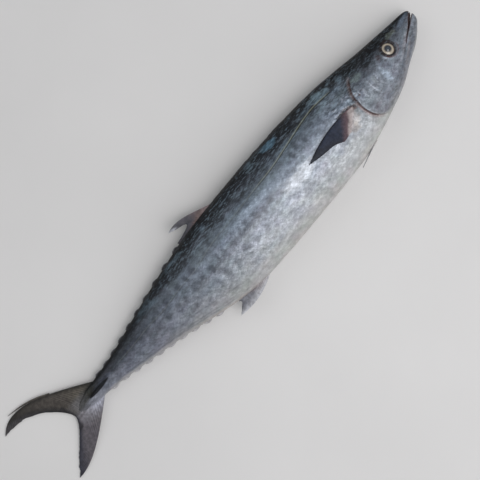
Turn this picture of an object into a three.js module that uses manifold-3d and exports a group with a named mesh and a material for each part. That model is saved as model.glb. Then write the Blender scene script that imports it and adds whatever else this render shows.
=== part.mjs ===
// A whole kingfish lying on its left flank, as it rests on a slab.
// Millimetres, +Z up. The head points to +X and the back to +Y, so the right flank faces up.
// The fish is drawn with x = 0 at the fork of the tail and y = 0 on the line from tail stalk to snout, and
// the whole group is then moved so that the origin is the bottom centre of its bounding box.
import * as THREE from "three";
import { mergeVertices } from "three/addons/utils/BufferGeometryUtils.js";
import Module from "manifold-3d";

const wasm = await Module();
wasm.setup();

// ---- Driving dimensions ----

// Outline of the trunk and head seen from the side, and half its thickness, as [x, value] stations.
const BACK = [
  [4, 0.5], [14, 4], [32, 9.5], [50, 10.5], [84, 12.5], [113, 16], [171, 25.5], [229, 34], [288, 41],
  [340, 43.5], [400, 44], [461, 42.8], [520, 40.5], [577, 36], [621, 29], [664, 20.8], [708, 14],
  [737, 9.6], [750, 8], [758, 6], [762.5, 2.6], [765, -6],
];
const BELLY = [
  [4, -6], [14, -9], [32, -14.5], [50, -16.5], [84, -23], [107, -29], [153, -40.5], [198, -53], [244, -67.5],
  [288, -80], [333, -87], [380, -89], [450, -89.5], [515, -89], [561, -87], [606, -79.5], [637, -72.5],
  [663, -66], [680, -60.5], [695, -53.5], [709, -47], [725, -41], [740, -33.2], [754, -23], [762, -15.8],
  [765, -9],
];
const HALF_WIDTH = [
  [4, 2.4], [14, 3.6], [32, 6], [50, 8], [84, 10.5], [113, 14], [171, 21.5], [229, 28.5], [288, 34],
  [340, 37], [400, 38.5], [470, 38.5], [530, 38], [577, 36.5], [621, 34], [664, 29], [697, 23.5], [722, 17.5],
  [745, 11], [758, 6.5], [765, 2.2],
];
// Height of the middle plane above the slab: the limp body sags until its lower flank lies flat.
const SPINE_HEIGHT = [
  [-96, 1.5], [-60, 2.2], [-20, 4.8], [14, 8.5], [50, 13], [84, 13.5], [113, 15], [171, 20.5], [229, 26.5],
  [288, 31.5], [340, 34.5], [400, 36], [470, 36], [530, 35.5], [577, 34.5], [621, 33.2], [664, 31.8],
  [697, 30], [722, 28.6], [745, 27.4], [765, 26.5],
];

const BODY_START = 4;
const BODY_END = 765;
const BODY_RINGS = 46;
const RING_SIDES = 36;
const RING_CROWDING = 0.42; // the larger, the closer the rings stand together towards the snout
const GAP = 0.35; // clearance between neighbouring pieces

const KEEL = { from: 26, to: 72, y: -2, height: 4, halfThickness: 2 };
const EYE = { x: 696.5, y: -10.4, radius: 11.4, halfDepth: 6, sunk: 4.6 };
const GILL = { width: 1.6, depth: 4.5 };
const DORSAL_GROOVE = { from: 366, to: 604, depth: 6, halfWidth: 2.6, overhang: 3 };
const FOLDED_FIN = { proud: 1.4, halfThickness: 2.1 };
const MOUTH = { halfWidth: 40 };
const PECTORAL = { halfThickness: 0.7, lift: 0.9, recess: 2.1, bow: 7, middle: [549, -33] };
const PELVIC = { root: 588, tip: 545, inner: 1.4, outer: 7.5, tipOuter: 3, clear: 1.3, drop: 4, thick: 0.7 };
const UNPAIRED_FINS = { rootHalfThickness: 1.8, edgeHalfThickness: 0.8 };
const CAUDAL = { rootHalfThickness: 2.4, edgeHalfThickness: 0.9 };
const FRAYED_RAY = { sunk: 2.6, width: 1.8, halfThickness: 0.9 };
const FINLET = { count: 10, length: 15, height: 3.3, overhang: 4, root: 3, halfThickness: 0.9 };
// Rear tips of the finlets: each step between them is a little longer than the one behind it.
const DORSAL_FINLETS = { first: 58.5, pitch: 18, growth: 0.62 };
const ANAL_FINLETS = { first: 61, pitch: 20.1, growth: 0 };

const COLOURS = {
  skin: { color: 0x8b95a3, roughness: 0.35, metalness: 0.5 },
  fin: { color: 0x3c4149, roughness: 0.5, metalness: 0.1 },
  paleFin: { color: 0x9c9088, roughness: 0.5, metalness: 0.1 },
  eye: { color: 0xcfc3a6, roughness: 0.1, metalness: 0 },
};

// ---- Shape helpers ----

/** A smooth function of x that passes through the given [x, value] points. */
function through(points) {
  const last = points.length - 1;
  const slope = (i) => {
    const [before, after] = [points[Math.max(i - 1, 0)], points[Math.min(i + 1, last)]];
    return (after[1] - before[1]) / (after[0] - before[0]);
  };
  return (x) => {
    const at = THREE.MathUtils.clamp(x, points[0][0], points[last][0]);
    const i = Math.min(points.findIndex((p, k) => k === last || at <= points[k + 1][0]), last - 1);
    const [[x0, y0], [x1, y1]] = [points[i], points[i + 1]];
    const span = x1 - x0;
    const t = (at - x0) / span;
    const [a, b] = [slope(i) * span, slope(i + 1) * span];
    return y0 + t * (a + t * (3 * (y1 - y0) - 2 * a - b + t * (2 * (y0 - y1) + a + b)));
  };
}

const back = through(BACK);
const belly = through(BELLY);
const halfWidth = through(HALF_WIDTH);
const spineHeight = through(SPINE_HEIGHT);
const lerp = THREE.MathUtils.lerp;

/** How far the keel stands out of the tail stalk at a point. */
function keelHeight(x, y) {
  const along = THREE.MathUtils.clamp((x - KEEL.from) / (KEEL.to - KEEL.from), 0, 1);
  return KEEL.height * Math.sin(Math.PI * along) * Math.exp(-(((y - KEEL.y) / KEEL.halfThickness) ** 2));
}

/** Height of the skin above (x, y) on the upper flank (side 1) or the lower one (side -1). */
function skinHeight(x, y, side) {
  const middle = (back(x) + belly(x)) / 2;
  const halfDepth = (back(x) - belly(x)) / 2;
  const across = THREE.MathUtils.clamp((y - middle) / halfDepth, -1, 1);
  return spineHeight(x) + side * halfWidth(x) * Math.sqrt(1 - across * across);
}

/** A point on the middle plane of the fish. */
const onSpine = (x, y) => [x, y, spineHeight(x)];

/** A closed geometry with only merged positions, made by moving every vertex of another. */
function warped(source, move) {
  const bare = new THREE.BufferGeometry().setAttribute("position", source.getAttribute("position"));
  bare.setIndex(source.getIndex());
  const merged = mergeVertices(bare, 1e-5);
  const place = merged.getAttribute("position");
  for (let i = 0; i < place.count; i++) {
    place.setXYZ(i, ...move(place.getX(i), place.getY(i), place.getZ(i)));
  }
  return merged;
}

/** A plate over u, v in 0..1: place(u, v) is its middle, normal its direction, thick its half thickness. */
function plate(uSteps, vSteps, place, thick, normal = () => [0, 0, 1]) {
  const box = new THREE.BoxGeometry(1, 1, 1, uSteps, vSteps, 1);
  return warped(box, (bx, by, bz) => {
    const [u, v] = [bx + 0.5, by + 0.5];
    const [x, y, z] = place(u, v);
    const [nx, ny, nz] = normal(u, v);
    const offset = 2 * bz * thick(u, v);
    return [x + nx * offset, y + ny * offset, z + nz * offset];
  });
}

/** The trunk and head grown by extra millimetres; the lower flank is pressed flat against the slab. */
function bodyLoft(extra) {
  const tube = new THREE.CylinderGeometry(1, 1, 1, RING_SIDES, BODY_RINGS);
  const span = BODY_END - BODY_START;
  return warped(tube, (cx, cy, cz) => {
    // Rings crowd together towards the snout, where the outline turns fastest.
    const share = Math.sin((cy + 0.5) * Math.PI * RING_CROWDING) / Math.sin(Math.PI * RING_CROWDING);
    const x = BODY_START + span * share + extra * 2 * cy;
    const middle = (back(x) + belly(x)) / 2;
    const halfDepth = (back(x) - belly(x)) / 2 + extra;
    const y = middle + halfDepth * cx;
    const z = spineHeight(x) + (halfWidth(x) + extra + keelHeight(x, y)) * cz;
    return [x, y, extra > 0 ? z : Math.max(z, 0)];
  });
}

const toSolid = (geometry) =>
  new wasm.Manifold(
    new wasm.Mesh({
      numProp: 3,
      vertProperties: geometry.getAttribute("position").array,
      triVerts: new Uint32Array(geometry.getIndex().array),
    }),
  );

/** A geometry's solid, turned the right way out. */
function solidOf(geometry) {
  const solid = toSolid(geometry);
  if (solid.volume() > 0) return solid;
  const index = geometry.getIndex().array;
  for (let i = 0; i < index.length; i += 3) {
    [index[i + 1], index[i + 2]] = [index[i + 2], index[i + 1]];
  }
  return toSolid(geometry);
}

function geometryOf(solid) {
  const mesh = solid.getMesh();
  return new THREE.BufferGeometry()
    .setAttribute("position", new THREE.BufferAttribute(mesh.vertProperties, 3))
    .setIndex(new THREE.BufferAttribute(mesh.triVerts, 1));
}

const group = new THREE.Group();

function addPiece(name, solid, look) {
  const geometry = geometryOf(solid);
  geometry.computeVertexNormals();
  const mesh = new THREE.Mesh(geometry, new THREE.MeshStandardMaterial(look));
  mesh.name = name;
  group.add(mesh);
}

/** A point at share t of the open polyline-like smooth curve through some [x, y] points. */
function curveThrough(points) {
  const curve = new THREE.SplineCurve(points.map(([x, y]) => new THREE.Vector2(x, y)));
  return (t) => {
    const p = curve.getPoint(THREE.MathUtils.clamp(t, 0, 1));
    return [p.x, p.y];
  };
}

/**
 * A fin blade on the middle plane: rays run from the base curve to the margin curve, bowed by bow(u).
 * The larger the lean, the nearer to the margin the bow is deepest.
 */
function blade(base, margin, bow, lean = 0) {
  return (u, v) => {
    const [[bx, by], [mx, my], [wx, wy]] = [base(u), margin(u), bow(u)];
    const swell = 4 * v * (1 - v) * (1 + lean * (v - 0.5));
    return onSpine(lerp(bx, mx, v) + wx * swell, lerp(by, my, v) + wy * swell);
  };
}

// ---- Eyes ----

/** An eyeball of the given growth, set in the flank with its flat side along the skin. */
function eyeball(side, extra) {
  const { x, y, radius, halfDepth, sunk } = EYE;
  const step = 2;
  const slopeX = (skinHeight(x + step, y, side) - skinHeight(x - step, y, side)) / (2 * step);
  const slopeY = (skinHeight(x, y + step, side) - skinHeight(x, y - step, side)) / (2 * step);
  const outward = new THREE.Vector3(-slopeX, -slopeY, 1).normalize().multiplyScalar(side);
  const turn = new THREE.Quaternion().setFromUnitVectors(new THREE.Vector3(0, 1, 0), outward);
  const centre = new THREE.Vector3(x, y, skinHeight(x, y, side)).addScaledVector(outward, -sunk);
  return warped(new THREE.SphereGeometry(1, 20, 12), (sx, sy, sz) =>
    new THREE.Vector3(sx * (radius + extra), sy * (halfDepth + extra), sz * (radius + extra))
      .applyQuaternion(turn)
      .add(centre)
      .toArray(),
  );
}

// ---- Mouth, a wedge that runs right across the head between the two jaws ----

function mouthWedge() {
  const upperLip = curveThrough([
    [722, -24.6], [735, -16.8], [743, -12.1], [755, -3.2], [763, 2.2], [771, 6],
  ]);
  const lowerLip = curveThrough([
    [722, -25.4], [735, -18.2], [743, -14.8], [755, -9.4], [763, -6], [771, -5],
  ]);
  return plate(
    1,
    6,
    (u, v) => {
      const [[ux, uy], [lx, ly]] = [upperLip(v), lowerLip(v)];
      return [lerp(ux, lx, u), lerp(uy, ly, u), spineHeight(ux)];
    },
    () => MOUTH.halfWidth,
  );
}

// ---- Gill openings, a narrow slit behind each gill cover ----

function gillSlit(side) {
  const edge = curveThrough([[624, 5], [611, -12], [606, -32], [607, -48], [617, -62]]);
  return plate(
    1,
    10,
    (u, v) => {
      const [x, y] = edge(v);
      return [x - GILL.width * (0.5 - u), y, skinHeight(x, y, side)];
    },
    (u, v) => GILL.depth * Math.sin(Math.PI * (0.08 + 0.84 * v)),
    () => [0.35, 0, side],
  );
}

// ---- First dorsal fin, folded down into its groove along the back ----

function dorsalStrip(bottom, top, halfThickness, lengthen) {
  const { from, to } = DORSAL_GROOVE;
  return plate(
    24,
    1,
    (u, v) => {
      const x = lerp(to + lengthen, from - lengthen, u);
      return onSpine(x, back(x) + lerp(bottom, top(u), v));
    },
    () => halfThickness,
  );
}

// ---- Pectoral fins, folded back against the flanks ----

const pectoralBase = curveThrough([[597, -23], [588, -34], [573, -46]]);
const pectoralMargin = curveThrough([[493, -31], [515, -36.5], [537, -40.5], [552, -48]]);

function pectoralOutline(u, v, grow = 0) {
  const [[bx, by], [mx, my]] = [pectoralBase(u), pectoralMargin(u)];
  const bow = PECTORAL.bow * (1 - u) * 4 * v * (1 - v);
  const [x, y] = [lerp(bx, mx, v), lerp(by, my, v) + bow];
  const [middleX, middleY] = PECTORAL.middle;
  const away = new THREE.Vector2(x - middleX, y - middleY);
  away.setLength(away.length() + grow);
  return [middleX + away.x, middleY + away.y];
}

function pectoralRight() {
  return plate(
    6,
    12,
    (u, v) => {
      const [x, y] = pectoralOutline(u, v);
      const lift = PECTORAL.halfThickness + GAP + PECTORAL.lift * Math.sin((Math.PI * v) / 2);
      return [x, y, skinHeight(x, y, 1) + lift];
    },
    () => PECTORAL.halfThickness,
  );
}

/** The lower pectoral is pressed flat between the flank and the slab. */
function pectoralLeft(grow, top) {
  return plate(
    6,
    12,
    (u, v) => {
      const [x, y] = pectoralOutline(u, v, grow);
      return [x, y, (top - grow) / 2];
    },
    () => (top + grow) / 2,
  );
}

// ---- Pelvic fins, small and folded back under the belly ----

function pelvic(side) {
  const { root, tip, inner, outer, tipOuter, clear, drop } = PELVIC;
  return plate(
    3,
    8,
    (u, v) => {
      const x = lerp(root, tip, v);
      const z = side * lerp(inner, lerp(outer, tipOuter, v), u);
      const round = Math.sqrt(1 - (z / halfWidth(x)) ** 2);
      const middle = (back(x) + belly(x)) / 2;
      const halfDepth = (back(x) - belly(x)) / 2;
      return [x, middle - halfDepth * round - clear - drop * v * v, spineHeight(x) + z];
    },
    () => PELVIC.thick,
    () => [0, 1, 0],
  );
}

// ---- Finlets: a row behind the second dorsal fin and one behind the anal fin ----

function finlet(tipX, outline, side) {
  const { length, height, root, overhang } = FINLET;
  return plate(
    4,
    1,
    (u, v) => {
      const baseX = tipX + lerp(length, overhang, u);
      const marginX = tipX + lerp(length - 1, 0, u);
      const baseY = outline(baseX) - side * root;
      // A low rounded crest, highest a little behind its middle.
      const marginY = outline(marginX) + side * height * Math.sin(Math.PI * lerp(0.08, 0.82, u));
      return onSpine(lerp(baseX, marginX, v), lerp(baseY, marginY, v));
    },
    (u, v) => FINLET.halfThickness * (1 - 0.4 * v),
  );
}

// ---- The unpaired fins ----

const secondDorsal = blade(
  curveThrough([[370, 41], [330, 38], [290, 35]]),
  curveThrough([[290, 63.3], [301, 58], [314, 54], [317, 50], [306, 46.5], [288, 43.8]]),
  (u) => [0, 6 * (1 - u) ** 2],
  1.8,
);
const analFin = blade(
  curveThrough([[350, -83], [310, -78], [278, -71]]),
  curveThrough([[266, -94.5], [275, -88.5], [282.5, -82.5], [279, -77]]),
  (u) => [0, -8 * (1 - u) ** 2],
);
const caudalBase = curveThrough([[58, 6], [30, 3], [18, -2.5], [28, -8], [56, -11]]);
const caudalMargin = curveThrough([
  [-96, 57.5], [-63, 53], [-37, 39.3], [-18, 20.5], [-8, 4], [-7, -6], [-17, -19], [-35, -34],
  [-54, -48.5], [-72.4, -66],
]);
const caudalFin = blade(caudalBase, caudalMargin, (u) => {
  const upper = Math.max(0, 1 - 2 * u);
  const lower = Math.max(0, 2 * u - 1);
  return [-8 * upper ** 2 - 5 * lower ** 2, 27.5 * upper ** 2 - 12 * lower ** 2];
}, 0.8);
// The frayed front ray of the upper lobe stands clear of the rest of the blade.
const frayedRay = curveThrough([[-4, 49], [-24, 61], [-46, 69.5], [-70, 74.5]]);

/** Half thickness of a blade that thins from its root to its margin. */
const thinning = (root, tip) => (u, v) => lerp(root, tip, Math.sqrt(v));

// ---- Assembly ----

const bodySpace = solidOf(bodyLoft(GAP));
const outside = (geometry) => solidOf(geometry).subtract(bodySpace);

const hollows = [
  mouthWedge(),
  gillSlit(1),
  gillSlit(-1),
  eyeball(1, GAP),
  eyeball(-1, GAP),
  dorsalStrip(-DORSAL_GROOVE.depth, () => DORSAL_GROOVE.overhang, DORSAL_GROOVE.halfWidth, GAP),
  pectoralLeft(GAP, PECTORAL.recess),
];
let body = solidOf(bodyLoft(0));
for (const hollow of hollows) body = body.subtract(solidOf(hollow));
addPiece("body", body, COLOURS.skin);

addPiece("eye_right", solidOf(eyeball(1, 0)), COLOURS.eye);
addPiece("eye_left", solidOf(eyeball(-1, 0)), COLOURS.eye);

const foldedTop = (u) => FOLDED_FIN.proud * Math.sin(Math.PI * (0.1 + 0.8 * u));
addPiece(
  "first_dorsal_fin",
  solidOf(dorsalStrip(GAP - DORSAL_GROOVE.depth, foldedTop, FOLDED_FIN.halfThickness, -GAP)),
  COLOURS.fin,
);
const { rootHalfThickness, edgeHalfThickness } = UNPAIRED_FINS;
const finThickness = thinning(rootHalfThickness, edgeHalfThickness);
addPiece("second_dorsal_fin", outside(plate(10, 8, secondDorsal, finThickness)), COLOURS.paleFin);
addPiece("anal_fin", outside(plate(10, 8, analFin, finThickness)), COLOURS.paleFin);
addPiece("pectoral_fin_right", solidOf(pectoralRight()), COLOURS.fin);
addPiece("pectoral_fin_left", solidOf(pectoralLeft(0, PECTORAL.recess - 2 * GAP)), COLOURS.fin);
addPiece("pelvic_fin_right", outside(pelvic(1)), COLOURS.paleFin);
addPiece("pelvic_fin_left", outside(pelvic(-1)), COLOURS.paleFin);

const caudalThickness = thinning(CAUDAL.rootHalfThickness, CAUDAL.edgeHalfThickness);
const tailBlade = solidOf(plate(36, 10, caudalFin, caudalThickness));
const strand = plate(
  1,
  8,
  (u, v) => {
    const [x, y] = frayedRay(v);
    return onSpine(x, y - FRAYED_RAY.sunk * (1 - v) - FRAYED_RAY.width * u * (1 - 0.5 * v));
  },
  () => FRAYED_RAY.halfThickness,
);
addPiece("caudal_fin", tailBlade.add(solidOf(strand)).subtract(bodySpace), COLOURS.fin);

for (let i = 0; i < FINLET.count; i++) {
  const label = String(i + 1).padStart(2, "0");
  const rows = [
    ["dorsal_finlet_", DORSAL_FINLETS, back, 1],
    ["anal_finlet_", ANAL_FINLETS, belly, -1],
  ];
  for (const [prefix, { first, pitch, growth }, outline, side] of rows) {
    const tipX = first + pitch * i + growth * i * i;
    addPiece(prefix + label, outside(finlet(tipX, outline, side)), COLOURS.paleFin);
  }
}

const box = new THREE.Box3().setFromObject(group);
group.position.set(-(box.min.x + box.max.x) / 2, -(box.min.y + box.max.y) / 2, -box.min.z);

export default group;
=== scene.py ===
"""A whole kingfish lying limp on its left flank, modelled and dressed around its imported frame.

Sizes in the classes are millimetres in the fish's own drafting plane: x runs forward from the fork of the
tail, y from the belly towards the back, and z is the height above the slab. Draft turns them into metres.
"""

import logging
import math
from dataclasses import dataclass, field
from enum import Enum
from typing import Sequence

import bpy
import numpy as np
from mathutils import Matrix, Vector


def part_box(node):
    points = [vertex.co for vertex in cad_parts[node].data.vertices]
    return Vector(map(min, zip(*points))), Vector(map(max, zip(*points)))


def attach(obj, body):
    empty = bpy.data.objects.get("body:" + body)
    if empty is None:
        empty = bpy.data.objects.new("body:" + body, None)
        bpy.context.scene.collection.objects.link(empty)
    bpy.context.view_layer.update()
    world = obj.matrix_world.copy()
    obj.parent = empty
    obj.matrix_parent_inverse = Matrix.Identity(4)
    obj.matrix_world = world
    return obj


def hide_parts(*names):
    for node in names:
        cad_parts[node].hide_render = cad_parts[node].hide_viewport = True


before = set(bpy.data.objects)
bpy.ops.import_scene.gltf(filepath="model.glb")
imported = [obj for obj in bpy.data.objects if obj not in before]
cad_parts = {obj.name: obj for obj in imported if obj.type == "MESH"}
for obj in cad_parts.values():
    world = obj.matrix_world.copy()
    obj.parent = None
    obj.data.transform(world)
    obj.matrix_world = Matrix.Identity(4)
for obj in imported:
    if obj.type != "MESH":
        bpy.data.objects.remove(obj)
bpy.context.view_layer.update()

MM = 0.001
ROOT = "root"
Array = np.ndarray
Points = Sequence[tuple[float, float]]
Tone = tuple[int, int, int]
Spot = tuple[float, float, float]
Piece = bpy.types.Object
Look = bpy.types.Material
Socket = bpy.types.NodeSocket
log = logging.getLogger("kingfish")


class Flank(Enum):
    """Which side of the fish: the right flank faces up and the left one lies on the slab."""

    RIGHT = 1
    LEFT = -1


# ---- Curves, noise and colours ----


def ease(low: float, high: float, value: Array) -> Array:
    """Rises smoothly from 0 at low to 1 at high, or falls if high is below low.

    Args:
        low: where the result is 0.
        high: where the result is 1.
        value: the values to grade.

    Returns:
        The graded values, 0 to 1.
    """
    share = np.clip((value - low) / (high - low), 0, 1)
    return share * share * (3 - 2 * share)


def window(start: float, full: float, fade: float, end: float, value: Array) -> Array:
    """1 between full and fade, falling smoothly to 0 at start and end."""
    return ease(start, full, value) * ease(end, fade, value)


def linear(tone: Tone) -> Array:
    """The linear colour of an 8-bit display tone."""
    share = np.array(tone, float) / 255
    return np.where(share <= 0.04045, share / 12.92, ((share + 0.055) / 1.055) ** 2.4)


def mix(first: Array, second: Array, share: Array) -> Array:
    """Blends two sets of colours row by row."""
    return first + (second - first) * share[:, None]


def plain(tone: Tone, count: int) -> Array:
    """One tone for this many points."""
    return np.repeat(linear(tone)[None, :], count, axis=0)


def tint(colours: Array, tone: Tone, share: Array) -> Array:
    """Lays a tone over a set of colours."""
    return mix(colours, linear(tone)[None, :], share)


class Profile:
    """A smooth function through given [place, value] stations."""

    def __init__(self, stations: Points) -> None:
        """Keeps the stations and the slope at each.

        Args:
            stations: [place, value] pairs in rising order.
        """
        table = np.array(stations, float)
        self.place, self.value = table[:, 0], table[:, 1]
        after = np.minimum(np.arange(len(table)) + 1, len(table) - 1)
        before = np.maximum(np.arange(len(table)) - 1, 0)
        self.slope = (self.value[after] - self.value[before]) / (self.place[after] - self.place[before])

    def __call__(self, x: Array) -> Array:
        """The function's value at each x, held level past the ends.

        Args:
            x: the points' x.

        Returns:
            One value for each x.
        """
        at = np.clip(x, self.place[0], self.place[-1])
        i = np.clip(np.searchsorted(self.place, at) - 1, 0, len(self.place) - 2)
        span = self.place[i + 1] - self.place[i]
        t = (at - self.place[i]) / span
        start, end = self.slope[i] * span, self.slope[i + 1] * span
        rise = self.value[i + 1] - self.value[i]
        return self.value[i] + t * (start + t * (3 * rise - 2 * start - end + t * (start + end - 2 * rise)))


class Path:
    """A smooth open curve through a few points of the drafting plane."""

    PIECES = 64

    def __init__(self, points: Points) -> None:
        """Keeps the points and a fine line along the curve."""
        self.knots = np.array(points, float)
        self.line = self.at(np.linspace(0, 1, self.PIECES + 1))

    def at(self, share: Array) -> Array:
        """Points of the curve at shares 0 to 1 of its knots, by uniform Catmull-Rom pieces.

        Args:
            share: places along the curve.

        Returns:
            One point for each share.
        """
        last = len(self.knots) - 1
        place = np.clip(share, 0, 1) * last
        i = np.minimum(place.astype(int), last - 1)
        t = (place - i)[:, None]
        p0 = self.knots[np.maximum(i - 1, 0)]
        p1, p2 = self.knots[i], self.knots[i + 1]
        p3 = self.knots[np.minimum(i + 2, last)]
        v0, v1 = (p2 - p0) / 2, (p3 - p1) / 2
        return (2 * p1 - 2 * p2 + v0 + v1) * t**3 + (3 * p2 - 3 * p1 - 2 * v0 - v1) * t**2 + v0 * t + p1

    def nearest(self, x: Array, y: Array) -> tuple[Array, Array]:
        """How far points lie from the curve, and where along it.

        Args:
            x: the points' x.
            y: the points' y.

        Returns:
            The distance, positive on the left of the curve's direction, and the share of the curve, 0 to 1.
        """
        distance, share = np.full(x.shape, 1e3), np.zeros(x.shape)
        for i in range(self.PIECES):
            start, step = self.line[i], self.line[i + 1] - self.line[i]
            length = math.hypot(*step) or 1e-9
            dx, dy = x - start[0], y - start[1]
            along = np.clip((dx * step[0] + dy * step[1]) / length**2, 0, 1)
            gap = np.hypot(dx - along * step[0], dy - along * step[1])
            closer = gap < np.abs(distance)
            side = np.where(step[0] * dy - step[1] * dx >= 0, 1.0, -1.0)
            distance = np.where(closer, gap * side, distance)
            share = np.where(closer, (i + along) / self.PIECES, share)
        return distance, share


class Grain:
    """Seeded smooth noise over the drafting plane."""

    def __init__(self, seed: int) -> None:
        """Keeps the seed, which makes each use its own pattern."""
        self.seed = seed

    def _corner(self, i: Array, j: Array) -> Array:
        """A fixed random value, -1 to 1, for each corner of the lattice."""
        wave = np.sin(i * 127.1 + j * 311.7 + self.seed * 74.7) * 43758.5453
        return 2 * (wave - np.floor(wave)) - 1

    def __call__(self, x: Array, y: Array, long: float, high: float, octaves: int = 1) -> Array:
        """Smooth noise from about -1 to 1.

        Args:
            x: the points' x.
            y: the points' y.
            long: size of a blotch along x.
            high: size of a blotch along y.
            octaves: how many finer layers are added, each half as strong.

        Returns:
            One value for each point.
        """
        total, weight = np.zeros(np.shape(x)), 0.0
        for octave in range(octaves):
            share = 0.5**octave
            u, v = x / (long * share) + 17.3 * octave, y / (high * share) - 9.1 * octave
            i, j = np.floor(u), np.floor(v)
            a, b = ease(0, 1, u - i), ease(0, 1, v - j)
            low = self._corner(i, j) * (1 - a) + self._corner(i + 1, j) * a
            top = self._corner(i, j + 1) * (1 - a) + self._corner(i + 1, j + 1) * a
            total += share * (low * (1 - b) + top * b)
            weight += share
        return total / weight


# ---- Mesh helpers ----


def select_only(piece: Piece) -> None:
    """Makes one object the active and only selected one.

    Args:
        piece: the mesh.
    """
    bpy.ops.object.select_all(action="DESELECT")
    piece.select_set(True)
    bpy.context.view_layer.objects.active = piece


def corners(piece: Piece) -> Array:
    """The places of a mesh's vertices, one row each.

    Args:
        piece: the mesh.

    Returns:
        One row for each vertex.
    """
    flat = np.empty(len(piece.data.vertices) * 3, np.float32)
    piece.data.vertices.foreach_get("co", flat)
    return flat.reshape(-1, 3).astype(float)


def move_corners(piece: Piece, places: Array) -> None:
    """Puts a mesh's vertices in new places."""
    piece.data.vertices.foreach_set("co", places.astype(np.float32).ravel())
    piece.data.update()


def new_grid(name: str, columns: int, rows: int) -> tuple[Piece, Array, Array]:
    """Adds a flat grid to be shaped.

    Args:
        name: the piece's name.
        columns: faces along u.
        rows: faces along v.

    Returns:
        The object, and each vertex's u and v, 0 to 1.
    """
    bpy.ops.object.select_all(action="DESELECT")
    bpy.ops.mesh.primitive_grid_add(x_subdivisions=columns, y_subdivisions=rows, size=1)
    piece = bpy.context.active_object
    piece.name = piece.data.name = name
    flat = corners(piece)
    return piece, flat[:, 0] + 0.5, flat[:, 1] + 0.5


def new_ball(name: str, segments: int, rings: int) -> tuple[Piece, Array]:
    """Adds a sphere of radius 1 to be shaped and gives its corners back.

    Args:
        name: its name.
        segments: faces round the axis.
        rings: faces from pole to pole.

    Returns:
        The object and its vertices.
    """
    bpy.ops.object.select_all(action="DESELECT")
    bpy.ops.mesh.primitive_uv_sphere_add(segments=segments, ring_count=rings, radius=1)
    piece = bpy.context.active_object
    piece.name = piece.data.name = name
    return piece, corners(piece)


def edit(piece: Piece, *steps) -> None:
    """Runs edit-mode steps on a whole selected mesh.

    Args:
        piece: the mesh.
        steps: functions to call in turn.
    """
    select_only(piece)
    bpy.ops.object.mode_set(mode="EDIT")
    bpy.ops.mesh.select_mode(type="VERT")
    bpy.ops.mesh.select_all(action="SELECT")
    for step in steps:
        step()
    bpy.ops.object.mode_set(mode="OBJECT")


def turn_outwards(piece: Piece, *before) -> None:
    """Runs edit-mode steps, if any, and then turns all faces outwards."""
    edit(piece, *before, lambda: bpy.ops.mesh.normals_make_consistent(inside=False))


def join(target: Piece, parts: Sequence[Piece]) -> None:
    """Joins parts into the target.

    Args:
        target: the piece that stays.
        parts: the pieces that go into it.
    """
    select_only(target)
    for part in parts:
        part.select_set(True)
    bpy.ops.object.join()


def apply_modifier(piece: Piece, kind: str, **settings) -> None:
    """Adds a modifier with these settings and applies it.

    Args:
        piece: the mesh.
        kind: the modifier's type.
        settings: its properties.
    """
    select_only(piece)
    modifier = piece.modifiers.new(kind.lower(), kind)
    for key, value in settings.items():
        setattr(modifier, key, value)
    bpy.ops.object.modifier_apply(modifier=modifier.name)


def paint_values(piece: Piece, name: str, values: Array) -> None:
    """Stores one number for each vertex under a name that materials read."""
    layer = piece.data.attributes.new(name, "FLOAT", "POINT")
    layer.data.foreach_set("value", values.astype(np.float32))


def paint_colours(piece: Piece, name: str, colours: Array) -> None:
    """Stores one colour for each vertex under a name that materials read.

    Args:
        piece: the mesh.
        name: its name.
        colours: one linear colour for each vertex.
    """
    layer = piece.data.attributes.new(name, "FLOAT_COLOR", "POINT")
    full = np.ones((len(colours), 4), np.float32)
    full[:, :3] = np.clip(colours, 0.001, 1)
    layer.data.foreach_set("color", full.ravel())


def settle(piece: Piece, node: str | None) -> None:
    """Smooths a finished piece, rides it on the fish and hides the frame's part that it stands for.

    Args:
        piece: the finished piece.
        node: the frame's node that it stands for, if any.
    """
    select_only(piece)
    bpy.ops.object.shade_smooth()
    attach(piece, ROOT)
    if node:
        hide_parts(node)
    log.info("%s: %d faces", piece.name, len(piece.data.polygons))


# ---- The fish's outline ----


@dataclass(frozen=True)
class Draft:
    """Where the drafting plane lies in the frame."""

    shift_x: float
    shift_y: float

    @classmethod
    def from_frame(cls, snout: float, crest: float) -> "Draft":
        """Lines the snout and the crest of the back up with the body in the frame."""
        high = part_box("body")[1]
        return cls(high.x / MM - snout, high.y / MM - crest)

    def metres(self, x: Array, y: Array, z: Array) -> Array:
        """The frame's places of points of the draft."""
        return np.stack([x + self.shift_x, y + self.shift_y, z], axis=1) * MM

    def read(self, places: Array) -> tuple[Array, Array, Array]:
        """The draft's x, y and z of places in the frame."""
        return places[:, 0] / MM - self.shift_x, places[:, 1] / MM - self.shift_y, places[:, 2] / MM


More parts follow.
